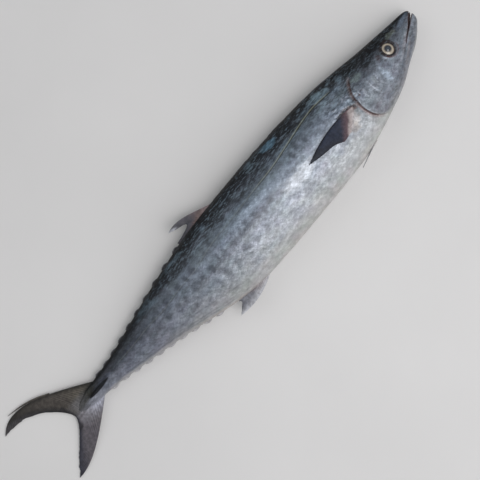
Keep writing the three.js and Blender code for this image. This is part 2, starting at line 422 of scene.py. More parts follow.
@dataclass(frozen=True)
class Outline:
    """The trunk and head: upper and lower edge, half thickness and the sagging middle plane."""

    snout: float = 765.0
    back: Profile = Profile([
        (4, 0.5), (14, 4), (32, 9.5), (50, 10.5), (84, 12.5), (113, 16), (171, 25.5), (229, 34), (288, 41),
        (340, 43.5), (400, 44), (461, 42.8), (520, 40.5), (577, 36), (621, 29), (664, 20.8), (708, 14),
        (737, 9.6), (750, 8), (758, 6), (762.5, 2.6), (765, -6),
    ])
    belly: Profile = Profile([
        (4, -6), (14, -9), (32, -14.5), (50, -16.5), (84, -23), (107, -29), (153, -40.5), (198, -53),
        (244, -67.5), (288, -80), (333, -87), (380, -89), (450, -89.5), (515, -89), (561, -87), (606, -79.5),
        (637, -72.5), (663, -66), (680, -60.5), (695, -53.5), (709, -47), (725, -41), (740, -33.2),
        (754, -23), (762, -15.8), (765, -9),
    ])
    half_width: Profile = Profile([
        (4, 1.0), (14, 2.4), (32, 5.6), (50, 8), (84, 10.5), (113, 14), (171, 21.5), (229, 28.5), (288, 34),
        (340, 37), (400, 38.5), (470, 38.5), (530, 38), (577, 36.5), (621, 34), (664, 29), (697, 23.5),
        (722, 17.5), (745, 11), (758, 6.5), (765, 2.2),
    ])
    middle: Profile = Profile([
        (-96, 1.5), (-60, 2.2), (-20, 4.8), (14, 8.5), (50, 13), (84, 13.5), (113, 15), (171, 20.5),
        (229, 26.5), (288, 31.5), (340, 34.5), (400, 36), (470, 36), (530, 35.5), (577, 34.5), (621, 33.2),
        (664, 31.8),
        (697, 30), (722, 28.6), (745, 27.4), (765, 26.5),
    ])

    def across(self, x: Array, y: Array) -> Array:
        """How high up the flank a point is, from -1 at the belly edge to 1 at the back."""
        top, bottom = self.back(x), self.belly(x)
        return np.clip((y - (top + bottom) / 2) / ((top - bottom) / 2), -1, 1)

    def skin(self, x: Array, y: Array, flank: Flank) -> Array:
        """Height of the skin of one flank above a point."""
        half = np.sqrt(1 - self.across(x, y) ** 2)
        return self.middle(x) + flank.value * self.half_width(x) * half


OUTLINE = Outline()
DRAFT = Draft.from_frame(snout=OUTLINE.snout, crest=43.93)


# ---- Marks and relief of the skin ----


@dataclass(frozen=True)
class Lap:
    """An edge where one plate of the head laps over what lies behind it."""

    path: Path
    lip: float
    lip_reach: float
    drop: float
    groove: float
    reach: float

    def relief(self, x: Array, y: Array) -> Array:
        """Millimetres by which the skin stands out, or lies in, near the edge.

        Args:
            x: the points' x.
            y: the points' y.

        Returns:
            One value for each point.
        """
        offset, share = self.path.nearest(x, y)
        ends = window(0, 0.12, 0.88, 1, share)
        before = self.lip * ease(-self.lip_reach, -1, offset) * (offset < 0)
        inside = (offset >= 0) & (offset < self.groove)
        behind = -0.55 * self.drop * ease(self.reach, self.groove, offset) * (offset >= self.groove)
        return ends * (before + behind - self.drop * inside)


@dataclass(frozen=True)
class Welt:
    """A raised band, or a furrow where its height is below nothing, along a path."""

    path: Path
    height: float
    start_width: float
    end_width: float
    edge: float = 1.0

    def relief(self, x: Array, y: Array) -> Array:
        """Millimetres by which the band stands out of the skin.

        Args:
            x: the points' x.
            y: the points' y.

        Returns:
            One value for each point.
        """
        offset, share = self.path.nearest(x, y)
        width = self.start_width + (self.end_width - self.start_width) * share
        ends = window(0, 0.1, 0.85, 1, share)
        return self.height * ends * ease(width + self.edge, width - self.edge, np.abs(offset))


@dataclass(frozen=True)
class Patch:
    """A soft-edged patch of another tone."""

    x: float
    y: float
    length: float
    height: float
    tone: Tone
    strength: float
    turn: float = 0.0

    def cover(self, x: Array, y: Array, ragged: Array) -> Array:
        """How much of the patch's tone shows at each point.

        Args:
            x: the points' x.
            y: the points' y.
            ragged: noise that breaks up the patch's edge.

        Returns:
            A share from 0 to the patch's strength.
        """
        cos, sin = math.cos(math.radians(self.turn)), math.sin(math.radians(self.turn))
        along = ((x - self.x) * cos + (y - self.y) * sin) / (self.length / 2)
        up = ((y - self.y) * cos - (x - self.x) * sin) / (self.height / 2)
        return self.strength * ease(1.25, 0.55, np.hypot(along, up) + 0.45 * ragged)


@dataclass(frozen=True)
class SmudgeRow:
    """A row of faint dark bars along the flank."""

    first: float
    last: float
    y: float
    pitch: float
    height: float
    strength: float

    def tone_patches_and_highlights(self, draw: np.random.Generator) -> list[Patch]:
        """One patch for each bar, no two quite alike.

        Args:
            draw: a seeded source of chance.

        Returns:
            The patches.
        """
        found = []
        for x in np.arange(self.first, self.last, self.pitch):
            found.append(
                Patch(
                    x=x + draw.uniform(-3, 3),
                    y=self.y + draw.uniform(-4, 4),
                    length=self.pitch * draw.uniform(0.4, 0.62),
                    height=self.height * draw.uniform(0.75, 1.25),
                    tone=(52, 56, 66),
                    strength=self.strength * draw.uniform(0.6, 1.2),
                    turn=draw.uniform(-14, 14),
                )
            )
        return found


GILL_EDGE = Path([
    (638, -72), (622, -66), (612, -56), (607.5, -43), (607.5, -30), (610.5, -15), (619, -2), (630, 7),
])
CHEEK_EDGE = Path([(680, -52), (657, -57), (643, -46), (639, -30), (640, -12), (647, 3)])
LATERAL = Path([
    (600, 12), (576, 15.5), (556, 17), (531, 15.5), (502, 12), (458, 7), (418, 6), (375, 4.4), (335, 4.2),
    (300, 1), (272, -3), (240, -2), (205, -4.5), (170, -2.5), (130, -3), (95, -2.2), (72, -2),
])
MOUTH_CORNER, MOUTH_FRONT = 722, 771
UPPER_LIP = Path([
    (MOUTH_CORNER, -24.6), (735, -16.8), (743, -12.1), (755, -3.6), (763, 1.4), (MOUTH_FRONT, 5),
])
LOWER_LIP = Path([
    (MOUTH_CORNER, -25.4), (735, -18.2), (743, -14.6), (755, -8.6), (763, -4.6), (MOUTH_FRONT, -2.6),
])
JAW_PLATE = Path([(752, -3.5), (735, -14), (715, -25.5), (697, -36)])
EYE_X, EYE_Y = 696.5, -10.4


CHIN_FURROW = Path([(686, -49), (660, -61), (630, -68)])
JAW_FURROW = Path([(726, -23), (712, -31), (700, -40)])
UPPER_HEM = Path([(330, -72), (280, -58), (230, -43), (180, -34)])
LOWER_HEM = Path([(318, -81), (270, -66), (215, -49), (170, -38)])


class TrunkRelief:
    """All that stands out of, or lies in, the smooth skin of the body."""

    GILL = Lap(GILL_EDGE, lip=0.9, lip_reach=16, drop=2.4, groove=1.1, reach=15)
    CHEEK = Lap(CHEEK_EDGE, lip=0.2, lip_reach=14, drop=0.2, groove=0.3, reach=12)
    WELTS = (
        Welt(JAW_PLATE, 0.9, 0.9, 5.0, edge=0.9),
        Welt(JAW_FURROW, -0.8, 0.5, 0.8, edge=0.8),
        Welt(Path([(752, -14), (728, -28), (700, -44), (668, -57)]), -0.5, 0.4, 0.8),
        Welt(Path([(758, -17), (735, -34), (706, -46)]), -0.45, 0.3, 0.6),
        Welt(CHIN_FURROW, -0.7, 0.4, 0.8),
        Welt(Path([(688, -52), (660, -64), (630, -71)]), -0.5, 0.3, 0.6),
        Welt(Path([(662, -2), (654, -16), (652, -32), (657, -46)]), -0.25, 0.4, 0.9),
        Welt(Path([(742, 5), (720, 9), (690, 11)]), -0.35, 0.6, 1.5, edge=1.5),
        Welt(UPPER_HEM, -0.5, 0.5, 1.0),
        Welt(LOWER_HEM, -0.45, 0.5, 0.9),
    )
    KEEL = Path([(30, -1.6), (50, -2), (73, -2.2)])
    SMALL_KEELS = (Path([(6, 2.0), (20, 4.6), (36, 7)]), Path([(6, -7), (20, -9.2), (36, -9.5)]))
    NOSTRILS = ((720.5, 1.4, 1.4), (713.5, 3.2, 1.0))
    AXIL = Path([(603, -28), (597, -23.5), (586, -20), (566, -18)])

    def __init__(self) -> None:
        """Seeds the noise for wrinkles and for the uneven flesh."""
        self.folds = Grain(11)
        self.flesh = Grain(12)

    def keel(self, x: Array, y: Array) -> Array:
        """The lens-shaped keel on each side of the tail stalk and the two small ones behind it.

        Args:
            x: the points' x.
            y: the points' y.

        Returns:
            One value for each point.
        """
        offset, share = self.KEEL.nearest(x, y)
        total = 4.6 * np.sin(np.pi * np.clip(share, 0, 1)) ** 0.8 * np.exp(-((offset / 1.7) ** 2))
        for path in self.SMALL_KEELS:
            offset, share = path.nearest(x, y)
            total += 1.5 * np.sin(np.pi * np.clip(share, 0.02, 0.98)) * np.exp(-((offset / 0.9) ** 2))
        return total

    def wrinkles(self, x: Array, y: Array) -> Array:
        """Loose crumpled skin on the shoulder, just behind the gill cover.

        Args:
            x: the points' x.
            y: the points' y.

        Returns:
            One value for each point.
        """
        here = window(548, 582, 612, 640, x) * window(-34, -20, 18, 34, y)
        bend = 3 * self.folds(x, y, 22, 16)
        fine = 1 - 2 * np.abs(self.folds(x + bend, y - bend, 7.5, 4.2, 2))
        return 1.3 * here * fine

    def eye_rim(self, x: Array, y: Array) -> Array:
        """The soft raised rim of skin round the eye."""
        radius = np.hypot(x - EYE_X, y - EYE_Y)
        return 1.1 * np.exp(-(((radius - 12.6) / 2.4) ** 2))

    def __call__(self, x: Array, y: Array) -> Array:
        """Millimetres by which the skin stands out at points of a flank.

        Args:
            x: the points' x.
            y: the points' y.

        Returns:
            One value for each point.
        """
        total = self.GILL.relief(x, y) + self.CHEEK.relief(x, y) + self.keel(x, y)
        total += self.wrinkles(x, y) + self.eye_rim(x, y)
        for welt in self.WELTS:
            total += welt.relief(x, y)
        for place_x, place_y, radius in self.NOSTRILS:
            away = np.hypot((x - place_x) / radius, (y - place_y) / radius)
            total += 0.35 * np.exp(-((away - 1.6) ** 2) * 4) - 1.8 * ease(1.15, 0.5, away)
        offset, share = self.AXIL.nearest(x, y)
        total -= 1.6 * ease(1.8, 0.4, np.abs(offset)) * np.sin(np.pi * np.clip(share, 0, 1))
        trunk = window(60, 160, 560, 640, x)
        total += trunk * (0.35 * self.flesh(x, y, 46, 26, 2) + 0.1 * self.flesh(x, y, 9, 6))
        return total


def stalk_tones(x: Array, y: Array) -> Array:
    """Colours where the body runs out into the tail: olive above, pale streaked flesh below.

    Args:
        x: the points' x.
        y: the points' y.

    Returns:
        One colour for each point, shared by the body's end and the tail's root.
    """
    above = tint(plain((96, 96, 97), len(x)), (52, 52, 48), ease(8, 40, x))
    above = tint(above, (30, 31, 31), ease(5, 10, y) * ease(24, 44, x))
    below = tint(plain((120, 120, 125), len(x)), (152, 155, 166), ease(6, 34, x))
    spread = (y + 4) / (1 + ease(46, -10, x))
    streaks = Grain(73)(x, spread, 40, 1.5, 2)
    tone = mix(above, below, ease(-1, -5, y + 1.5 * Grain(74)(x, y, 14, 5)))
    return tone * (1 + 0.3 * streaks)[:, None]


class SkinTones:
    """The colours of the skin, from the black back to the cream belly."""

    TRUNK = (
        (1.0, (17, 17, 18)), (0.9, (27, 28, 30)), (0.8, (44, 47, 52)), (0.7, (62, 67, 74)),
        (0.58, (94, 104, 115)), (0.45, (115, 127, 139)), (0.34, (125, 137, 150)), (0.2, (138, 149, 163)),
        (0.05, (136, 146, 158)),
        (-0.1, (143, 151, 161)), (-0.27, (160, 168, 179)), (-0.45, (173, 179, 187)), (-0.62, (180, 185, 190)),
        (-0.8, (191, 193, 194)), (-0.93, (190, 191, 190)), (-1.0, (186, 185, 182)),
    )
    TAIL = (
        (1.0, (14, 14, 15)), (0.85, (27, 28, 30)), (0.6, (54, 57, 64)), (0.4, (66, 70, 79)),
        (0.25, (82, 87, 97)), (0.08, (101, 106, 117)), (-0.1, (113, 118, 131)), (-0.35, (127, 132, 145)),
        (-0.6, (134, 138, 151)),
        (-0.8, (132, 135, 145)), (-1.0, (152, 152, 156)),
    )
    HEAD = (
        (1.0, (13, 13, 14)), (0.85, (24, 25, 26)), (0.76, (38, 39, 42)), (0.62, (60, 64, 70)),
        (0.5, (84, 89, 97)), (0.3, (106, 113, 123)), (0.12, (132, 140, 152)), (-0.1, (149, 158, 170)),
        (-0.4, (148, 155, 166)),
        (-0.66, (138, 143, 152)), (-0.85, (140, 143, 149)), (-1.0, (168, 169, 170)),
    )
    TONE_PATCHES_AND_HIGHLIGHTS = (
        Patch(481, 33, 30, 11, (98, 132, 154), 0.8, -8),
        Patch(579, 23, 38, 12, (126, 148, 160), 0.85, -6),
        Patch(570, 9, 24, 9, (132, 150, 162), 0.75),
        Patch(536, 4, 44, 12, (122, 133, 147), 0.5),
        # Painted highlight: a bright silver sheen on the lower flank.
        Patch(474, -31, 66, 20, (214, 221, 229), 0.7, -3),
        Patch(366, -21, 170, 11, (98, 103, 114), 0.6),
        Patch(398, -6, 116, 10, (160, 174, 190), 0.7, -1),
        Patch(376, 9, 60, 8, (112, 128, 142), 0.5),
        Patch(452, -10, 60, 10, (160, 172, 187), 0.55, 2),
        Patch(552, -66, 90, 26, (200, 204, 206), 0.6),
        Patch(592, -52, 26, 30, (192, 197, 201), 0.6),
        Patch(633, -3, 27, 10, (142, 158, 160), 0.75, -8),
        Patch(661, 3, 36, 17, (33, 34, 38), 0.7, 10),
        Patch(646, -5, 18, 12, (58, 60, 66), 0.5, 40),
        Patch(640, 13, 50, 11, (30, 32, 34), 0.7),
        Patch(700, 9, 90, 7, (22, 23, 25), 0.75, -7),
        Patch(608, -57, 12, 26, (196, 196, 198), 0.5, 24),
        Patch(710, -39, 60, 3.4, (174, 170, 174), 0.6, 31),
        Patch(700, -38, 52, 3.6, (104, 110, 122), 0.5, 31),
        Patch(706, -47, 60, 4, (158, 162, 172), 0.5, 30),
        # Painted highlight: a bright streak on the cheek behind and below the eye.
        Patch(668, -33, 10, 24, (176, 186, 200), 0.7, 4),
        Patch(640, -34, 44, 34, (132, 138, 144), 0.35),
        Patch(690, -50, 60, 12, (104, 110, 120), 0.35, 22),
        Patch(686, 5, 44, 10, (26, 27, 30), 0.85, -10),
        Patch(730, 7, 60, 6, (24, 25, 28), 0.85, -6),
        # Painted highlight: the same streak on the cheek, brightened.
        Patch(666, -32, 9, 24, (178, 192, 208), 0.9),
        Patch(648, -24, 7, 16, (172, 181, 188), 0.6),
        Patch(617, -22, 3.6, 2.8, (104, 74, 52), 0.85),
        Patch(623, -53, 16, 7, (112, 103, 114), 0.5, 14),
        Patch(677, -8, 10, 12, (96, 70, 70), 0.45),
        Patch(713, 1, 15, 7, (104, 112, 104), 0.6, -8),
        Patch(722, 0, 8, 8, (124, 130, 124), 0.55),
        Patch(727, -4, 9, 2.6, (54, 62, 66), 0.6, -4),
        Patch(742, 0, 28, 8, (124, 138, 156), 0.6, 14),
        Patch(720, -23, 50, 5, (162, 160, 166), 0.55, 31),
        Patch(728, -32, 46, 7, (104, 108, 122), 0.5, 31),
        Patch(745, -22, 16, 4, (168, 172, 182), 0.6, 42),
        Patch(591, -23, 22, 8, (170, 142, 130), 0.7, -20),
        Patch(572, -40, 30, 16, (180, 172, 166), 0.6, -38),
        Patch(588, -35, 22, 24, (180, 174, 168), 0.6, -38),
        Patch(594, -26, 18, 5, (128, 92, 82), 0.55, -30),
        Patch(90, -9, 60, 8, (132, 136, 147), 0.4, -6),
    )
    SMUDGES = (
        SmudgeRow(262, 452, -18, 16, 15, 0.48),
        SmudgeRow(300, 420, -38, 23, 18, 0.3),
        SmudgeRow(214, 330, 4, 15, 14, 0.48),
        SmudgeRow(470, 572, 2, 17, 16, 0.42),
        SmudgeRow(350, 480, 12, 19, 12, 0.32),
        SmudgeRow(90, 210, 0, 15, 9, 0.4),
        SmudgeRow(160, 300, -18, 19, 12, 0.35),
        SmudgeRow(240, 360, -36, 22, 14, 0.3),
        SmudgeRow(400, 560, -48, 26, 16, 0.22),
    )

    # Furrows darkened with painted shade, each with how far the shade reaches.
    CREASES = (
        (CHIN_FURROW, 1.5), (JAW_FURROW, 1.5), (UPPER_HEM, 1.8), (LOWER_HEM, 1.6),
        (Path([(752, -14), (728, -28), (700, -44)]), 1.4),
    )

    def __init__(self) -> None:
        """Draws the smudges and seeds the noise."""
        draw = np.random.default_rng(7)
        self.marks = [mark for row in self.SMUDGES for mark in row.tone_patches_and_highlights(draw)] + list(self.TONE_PATCHES_AND_HIGHLIGHTS)
        self.wobble, self.blotch, self.streak, self.fleck = Grain(21), Grain(22), Grain(23), Grain(24)

    @staticmethod
    def _ramp(stops: Sequence[tuple[float, Tone]], across: Array) -> Array:
        """Colours along one of the ramps from belly to back.

        Args:
            stops: [place, tone] pairs.
            across: places on the ramp.

        Returns:
            One colour for each place.
        """
        ordered = sorted(stops)
        places = [place for place, _ in ordered]
        tones = np.array([linear(tone) for _, tone in ordered])
        return np.stack([np.interp(across, places, tones[:, i]) for i in range(3)], axis=1)

    def colours(self, x: Array, y: Array) -> Array:
        """The skin's colour at points of a flank.

        Args:
            x: the points' x.
            y: the points' y.

        Returns:
            One colour for each point.
        """
        across = OUTLINE.across(x, y)
        uneven = 0.1 * self.wobble(x, y, 34, 13, 3) * ease(1, 0.5, np.abs(across))
        shifted = np.clip(across + uneven, -1, 1)
        trunk = self._ramp(self.TRUNK, shifted)
        tone = mix(self._ramp(self.TAIL, shifted), trunk, ease(90, 330, x + 40 * across))
        behind_gill, _ = GILL_EDGE.nearest(x, y)
        on_head = ease(2, -3, behind_gill) * ease(600, 618, x)
        crown = ease(600, 660, x) * (y > 8)
        tone = mix(tone, self._ramp(self.HEAD, shifted), np.maximum(on_head, crown))
        # Blue-black and pale sea-blue clouds along the upper flank.
        cloudy = self.cloudy(x, y)
        cloud = self.blotch(x, y, 20, 8, 3)
        tone = tint(tone, (34, 39, 46), cloudy * ease(0.0, 0.5, -cloud) * 0.6)
        tone = tint(tone, (112, 132, 147), cloudy * ease(0.1, 0.6, cloud) * 0.5)
        tints = [grain(x, y, 15, 8, 2) for grain in (self.wobble, self.streak, self.blotch)]
        headed = np.maximum(on_head, 0.25)
        shared = 0.07 * tints[0] + 0.08 * self.fleck(x, y, 9, 5, 2)
        shared += 0.28 * headed * self.fleck(x, y, 4.4, 3.2, 2)
        tone = tone * (1 + 0.035 * np.stack(tints, axis=1) + shared[:, None])
        streaks = self.streak(x, y, 16, 2.6, 2)
        tone = tone * (1 + 0.25 * cloudy * streaks + 0.1 * streaks)[:, None]
        tone = mix(tone, stalk_tones(x, y), ease(62, 36, x + 5 * self.wobble(x, y, 12, 6)))
        ragged = self.fleck(x, y, 7, 4, 2)
        for mark in self.marks:
            near = np.hypot(x - mark.x, y - mark.y) < 1.2 * max(mark.length, mark.height)
            if near.any():
                share = np.zeros(len(x))
                share[near] = mark.cover(x[near], y[near], ragged[near])
                tone = tint(tone, mark.tone, share)
        return self._edges(x, y, tone, ragged)

    def _edges(self, x: Array, y: Array, tone: Array, ragged: Array) -> Array:
        """Adds the gill's red edge with a painted shadow behind its upper part, painted shade in the creases
        and in the slit over the pectoral fin, the lips, the hem of the belly and the keel's dark lens.

        Args:
            x: the points' x.
            y: the points' y.
            tone: the colours so far.
            ragged: noise that makes the lines uneven.

        Returns:
            The colours with the lines drawn on.
        """
        behind, share = GILL_EDGE.nearest(x, y)
        ends = window(0.06, 0.3, 0.88, 1, share)
        tone = tint(tone, (176, 158, 156), ends * ease(5.5, 2.5, behind) * (behind > 0) * 0.75)
        shadow = ease(11, 2, behind) * (behind > 0) * window(0.5, 0.75, 0.9, 1, share)
        tone = tint(tone, (58, 58, 62), shadow * 0.6)
        red = ease(1.5, 0.5, np.abs(behind - 0.5)) * (0.8 + 0.2 * ragged)
        tone = tint(tone, (80, 50, 45), ends * red)
        # Painted shade: each furrow darkens the skin along its bottom.
        for path, reach in self.CREASES:
            crease, share = path.nearest(x, y)
            strength = window(0, 0.15, 0.85, 1, share) * ease(reach, 0.4, np.abs(crease))
            tone = tone * (1 - np.clip(0.16 + 0.2 * ragged, 0, 1) * strength)[:, None]
        # A dark red line along the pectoral fin's root: partly the fin's real colour, partly painted shade in
        # the slit over the fin.
        slit, share = TrunkRelief.AXIL.nearest(x, y)
        slit = ease(2.6, 0.8, np.abs(slit)) * window(0, 0.1, 0.8, 1, share)
        tone = tint(tone, (36, 27, 27), slit * 0.9)
        rim = np.hypot(x - EYE_X, y - EYE_Y) + 0.5 * ragged
        tone = tint(tone, (46, 37, 36), ease(14.2, 11.9, rim) * 0.9)
        hem = y - OUTLINE.belly(x)
        along = window(40, 90, 280, 340, x)
        beige = tint(plain((172, 171, 172), len(x)), (180, 171, 164), ease(190, 250, x))
        tone = mix(tone, beige, along * ease(4.5, 2, hem + ragged) * 0.55)
        lines = ease(1.3, 0.4, np.abs(hem - 6)) + 0.7 * ease(1.3, 0.4, np.abs(hem - 10.5))
        tone = tone * (1 - 0.26 * along * lines * (0.7 + 0.6 * ragged))[:, None]
        lips = np.minimum(np.abs(UPPER_LIP.nearest(x, y)[0]), np.abs(LOWER_LIP.nearest(x, y)[0]))
        tone = tint(tone, (92, 58, 54), ease(1.5, 0.5, lips) * ease(705, 730, x) * 0.7)
        cheek = np.exp(-((np.hypot(x - EYE_X - 2, y - EYE_Y + 2) - 12.6) / 1.2) ** 2)
        tone = tint(tone, (112, 60, 54), cheek * ease(0, 6, EYE_Y - y) * 0.5)
        keel, share = TrunkRelief.KEEL.nearest(x, y)
        half = 2.9 * np.sin(np.pi * np.clip(share, 0, 1)) ** 0.7
        dark = ease(half + 0.9, half - 0.7, np.abs(keel + 0.9)) * (half > 0.2)
        return tint(tone, (18, 19, 19), dark * 0.92)

    def cloudy(self, x: Array, y: Array) -> Array:
        """Where the upper flank is clouded blue-black and pale sea blue.

        Args:
            x: the points' x.
            y: the points' y.

        Returns:
            A share for each point.
        """
        across = OUTLINE.across(x, y)
        cloudy = ease(0.36, 0.66, across) * ease(1.0, 0.86, across)
        return cloudy * window(60, 260, 600, 650, x)

    def silver(self, x: Array, y: Array) -> Array:
        """How metallic the skin is: most on the flank and cheek, least on the back and belly.

        Args:
            x: the points' x.
            y: the points' y.

        Returns:
            A share for each point.
        """
        across = OUTLINE.across(x, y)
        flank = ease(0.8, 0.35, across) * (0.35 + 0.65 * ease(-1, -0.5, across))
        return np.clip(0.34 * flank + 0.12 * self.blotch(x, y, 18, 8, 2), 0, 0.6)

    def wet(self, x: Array, y: Array) -> Array:
        """How strongly the slime shines: little on the matt black back.

        Args:
            x: the points' x.
            y: the points' y.

        Returns:
            A share for each point.
        """
        keel, _ = TrunkRelief.KEEL.nearest(x, y)
        above_eye = 0.25 * ease(600, 660, x) * (y > -2)
        slimy = ease(0.92, 0.42, OUTLINE.across(x, y) + above_eye)
        return 0.05 + 0.95 * slimy * ease(3, 7, np.abs(keel))

    def rubbed(self, x: Array, y: Array) -> Array:
        """How strongly scuffs mark the skin: least on the smooth belly."""
        return 0.45 + 0.55 * ease(-0.95, -0.45, OUTLINE.across(x, y))

    def flecks(self, x: Array, y: Array) -> Array:
        """Where small pale flecks show, as scale pockets catch the light above the lateral line.

        Args:
            x: the points' x.
            y: the points' y.

        Returns:
            A share for each point.
        """
        shoulder = window(545, 580, 610, 640, x) * ease(-32, -18, y)
        head = 0.4 * ease(612, 640, x)
        faint = 0.16 * ease(-0.95, -0.6, OUTLINE.across(x, y))
        return np.clip(self.cloudy(x, y) * ease(120, 330, x) + shoulder + head + faint, 0, 1)


# ---- Shared shader groups ----


class Shade:
    """A small helper that adds and joins shader nodes in one tree."""

    def __init__(self, tree: bpy.types.NodeTree) -> None:
        """Keeps the tree."""
        self.tree = tree

    def fill(self, node: bpy.types.Node, inputs: dict) -> None:
        """Fills a node's inputs, by name or number, with values or with other nodes' outputs.

        Args:
            node: the node to fill.
            inputs: input name or number to a value or a socket.
        """
        for key, value in inputs.items():
            if isinstance(value, Socket):
                self.tree.links.new(value, node.inputs[key])
            else:
                node.inputs[key].default_value = value

    def add(self, kind: str, inputs: dict | None = None, **settings) -> bpy.types.Node:
        """Adds a shader node, sets it and fills its inputs.

        Args:
            kind: the node's type, without its ShaderNode.
            inputs: input name or number to a value or an output socket.
            settings: the node's own properties.

        Returns:
            The new node.
        """
        node = self.tree.nodes.new("ShaderNode" + kind)
        for key, value in settings.items():
            setattr(node, key, value)
        self.fill(node, inputs or {})
        return node

    def use(self, group: bpy.types.NodeTree, **inputs) -> bpy.types.NodeOutputs:
        """Places a shared group and gives its outputs back."""
        return self.add("Group", inputs, node_tree=group).outputs

    def place(self) -> Socket:
        """Where on the fish, in its own coordinates."""
        return self.add("TexCoord").outputs["Object"]

    def painted(self, name: str, output: str = "Fac") -> Socket:
        """One of the values painted on the mesh."""
        return self.add("Attribute", attribute_name=name).outputs[output]

    def math(self, operation: str, *values, clamp: bool = False) -> Socket:
        """The output of a Math node on two or three values or sockets."""
        return self.add("Math", dict(enumerate(values)), operation=operation, use_clamp=clamp).outputs[0]

    def product(self, first: Socket, *others, clamp: bool = False) -> Socket:
        """Several values or sockets multiplied together.

        Args:
            first: the first value.
            others: the other values.

        Returns:
            The product.
        """
        for other in others:
            first = self.math("MULTIPLY", first, other, clamp=clamp)
        return first

    def stretch(self, vector: Socket, by: Spot) -> Socket:
        """A place multiplied axis by axis."""
        return self.add("VectorMath", {0: vector, 1: by}, operation="MULTIPLY").outputs[0]

    def noise(self, vector: Socket, scale: Socket, detail: Socket | float, roughness: float = 0.5) -> Socket:
        """Plain cloudy noise."""
        inputs = {"Vector": vector, "Scale": scale, "Detail": detail, "Roughness": roughness}
        return self.add("TexNoise", inputs).outputs[0]

    def grade(self, value: Socket, low: float, high: float, start: float, end: float) -> Socket:
        """Maps a socket's range from low-high to start-end, smoothly and clamped."""
        inputs = {0: value, 1: low, 2: high, 3: start, 4: end}
        return self.add("MapRange", inputs, interpolation_type="SMOOTHSTEP").outputs[0]

    def blend(self, share: Socket | float, first: Socket, second: Socket, mode: str = "MIX") -> Socket:
        """The output of a colour Mix node.

        Args:
            share: places along the curve.
            first: the first value.
            second: the colour laid over it.
            mode: how the two are blended.

        Returns:
            The blended colour.
        """
        node = self.add("Mix", data_type="RGBA", blend_type=mode)
        self.fill(node, {0: share, 6: first, 7: second})
        return node.outputs[2]

    def tinted(self, share: Socket, colour: Socket | tuple, tone: Tone) -> Socket:
        """A colour with a tone laid over it."""
        return self.blend(share, colour, (*linear(tone), 1.0))

    def dimmed(self, colour: Socket, factor: Socket, share: Socket | float = 1.0) -> Socket:
        """A colour multiplied by a grey factor, as far as share says."""
        grey = self.add("CombineColor", {0: factor, 1: factor, 2: factor}).outputs[0]
        return self.blend(share, colour, grey, "MULTIPLY")

    def bump(self, height: Socket, strength: float, distance: float) -> Socket:
        """The normal of a fine relief."""
        return self.add("Bump", {"Strength": strength, "Distance": distance, "Height": height}).outputs[0]


def new_group(name: str, inputs: dict[str, float | None], outputs: Sequence[str]) -> tuple:
    """Starts a shader node group.

    Args:
        name: the group's name.
        inputs: each input's name and default, which is None for a vector.
        outputs: names of the outputs, all plain values.

    Returns:
        The group, its Shade, what it is given and its output node.
    """
    group = bpy.data.node_groups.new(name, "ShaderNodeTree")
    for label, default in inputs.items():
        kind = "NodeSocketVector" if default is None else "NodeSocketFloat"
        socket = group.interface.new_socket(label, in_out="INPUT", socket_type=kind)
        if default is not None:
            socket.default_value = default
    for label in outputs:
        group.interface.new_socket(label, in_out="OUTPUT", socket_type="NodeSocketFloat")
    given, out = group.nodes.new("NodeGroupInput"), group.nodes.new("NodeGroupOutput")
    return group, Shade(group), given.outputs, out


def fine_scales_group() -> bpy.types.NodeTree:
    """Tiny scales and the slime's soft grain.

    Returns:
        A group with a Shimmer mask and a Height.
    """
    given_names = {"Vector": None, "Density": 420}
    group, shade, given, out = new_group("fine_scales", given_names, ["Shimmer", "Height"])
    stretched = shade.stretch(given["Vector"], (0.62, 1.0, 1.0))
    cells = shade.add("TexVoronoi", {"Vector": stretched, "Scale": given["Density"]}, feature="F1")
    grain = shade.noise(stretched, given["Density"], 3.0, 0.6)
    rounded = shade.grade(cells.outputs["Distance"], 0.0, 0.75, 1.0, 0.0)
    shimmer = shade.math("MULTIPLY_ADD", rounded, 0.5, shade.math("MULTIPLY", grain, 0.5))
    height = shade.math("MULTIPLY_ADD", rounded, 0.7, shade.math("MULTIPLY", grain, 0.3))
    shade.fill(out, {"Shimmer": shimmer, "Height": height})
    return group


def cloud_group() -> bpy.types.NodeTree:
    """Soft uneven clouds that tone any surface up and down.

    Returns:
        A group with one Mask around 0.5.
    """
    group, shade, given, out = new_group("soft_clouds", {"Vector": None, "Scale": 60, "Detail": 4}, ["Mask"])
    noise = shade.noise(given["Vector"], given["Scale"], given["Detail"])
    shade.fill(out, {"Mask": shade.grade(noise, 0.28, 0.72, 0.0, 1.0)})
    return group


def scuff_group() -> bpy.types.NodeTree:
    """Short soft strokes that cross each other, as on rubbed wet skin.

    Returns:
        A group with one Mask around 0.5.
    """
    group, shade, given, out = new_group("crossed_scuffs", {"Vector": None, "Scale": 60}, ["Mask"])
    total = None
    for turn, share, thin in ((0.7, 0.3, 3.2), (-0.6, 0.3, 3.0), (0.05, 0.4, 2.4)):
        spun = shade.add("VectorRotate", {"Vector": given["Vector"], "Angle": turn}, rotation_type="Z_AXIS")
        noise = shade.noise(shade.stretch(spun.outputs[0], (1.0, thin, 2.0)), given["Scale"], 4.0, 0.6)
        part = shade.math("MULTIPLY", noise, share)
        total = part if total is None else shade.math("ADD", total, part)
    shade.fill(out, {"Mask": shade.grade(total, 0.38, 0.62, 0.0, 1.0)})
    return group


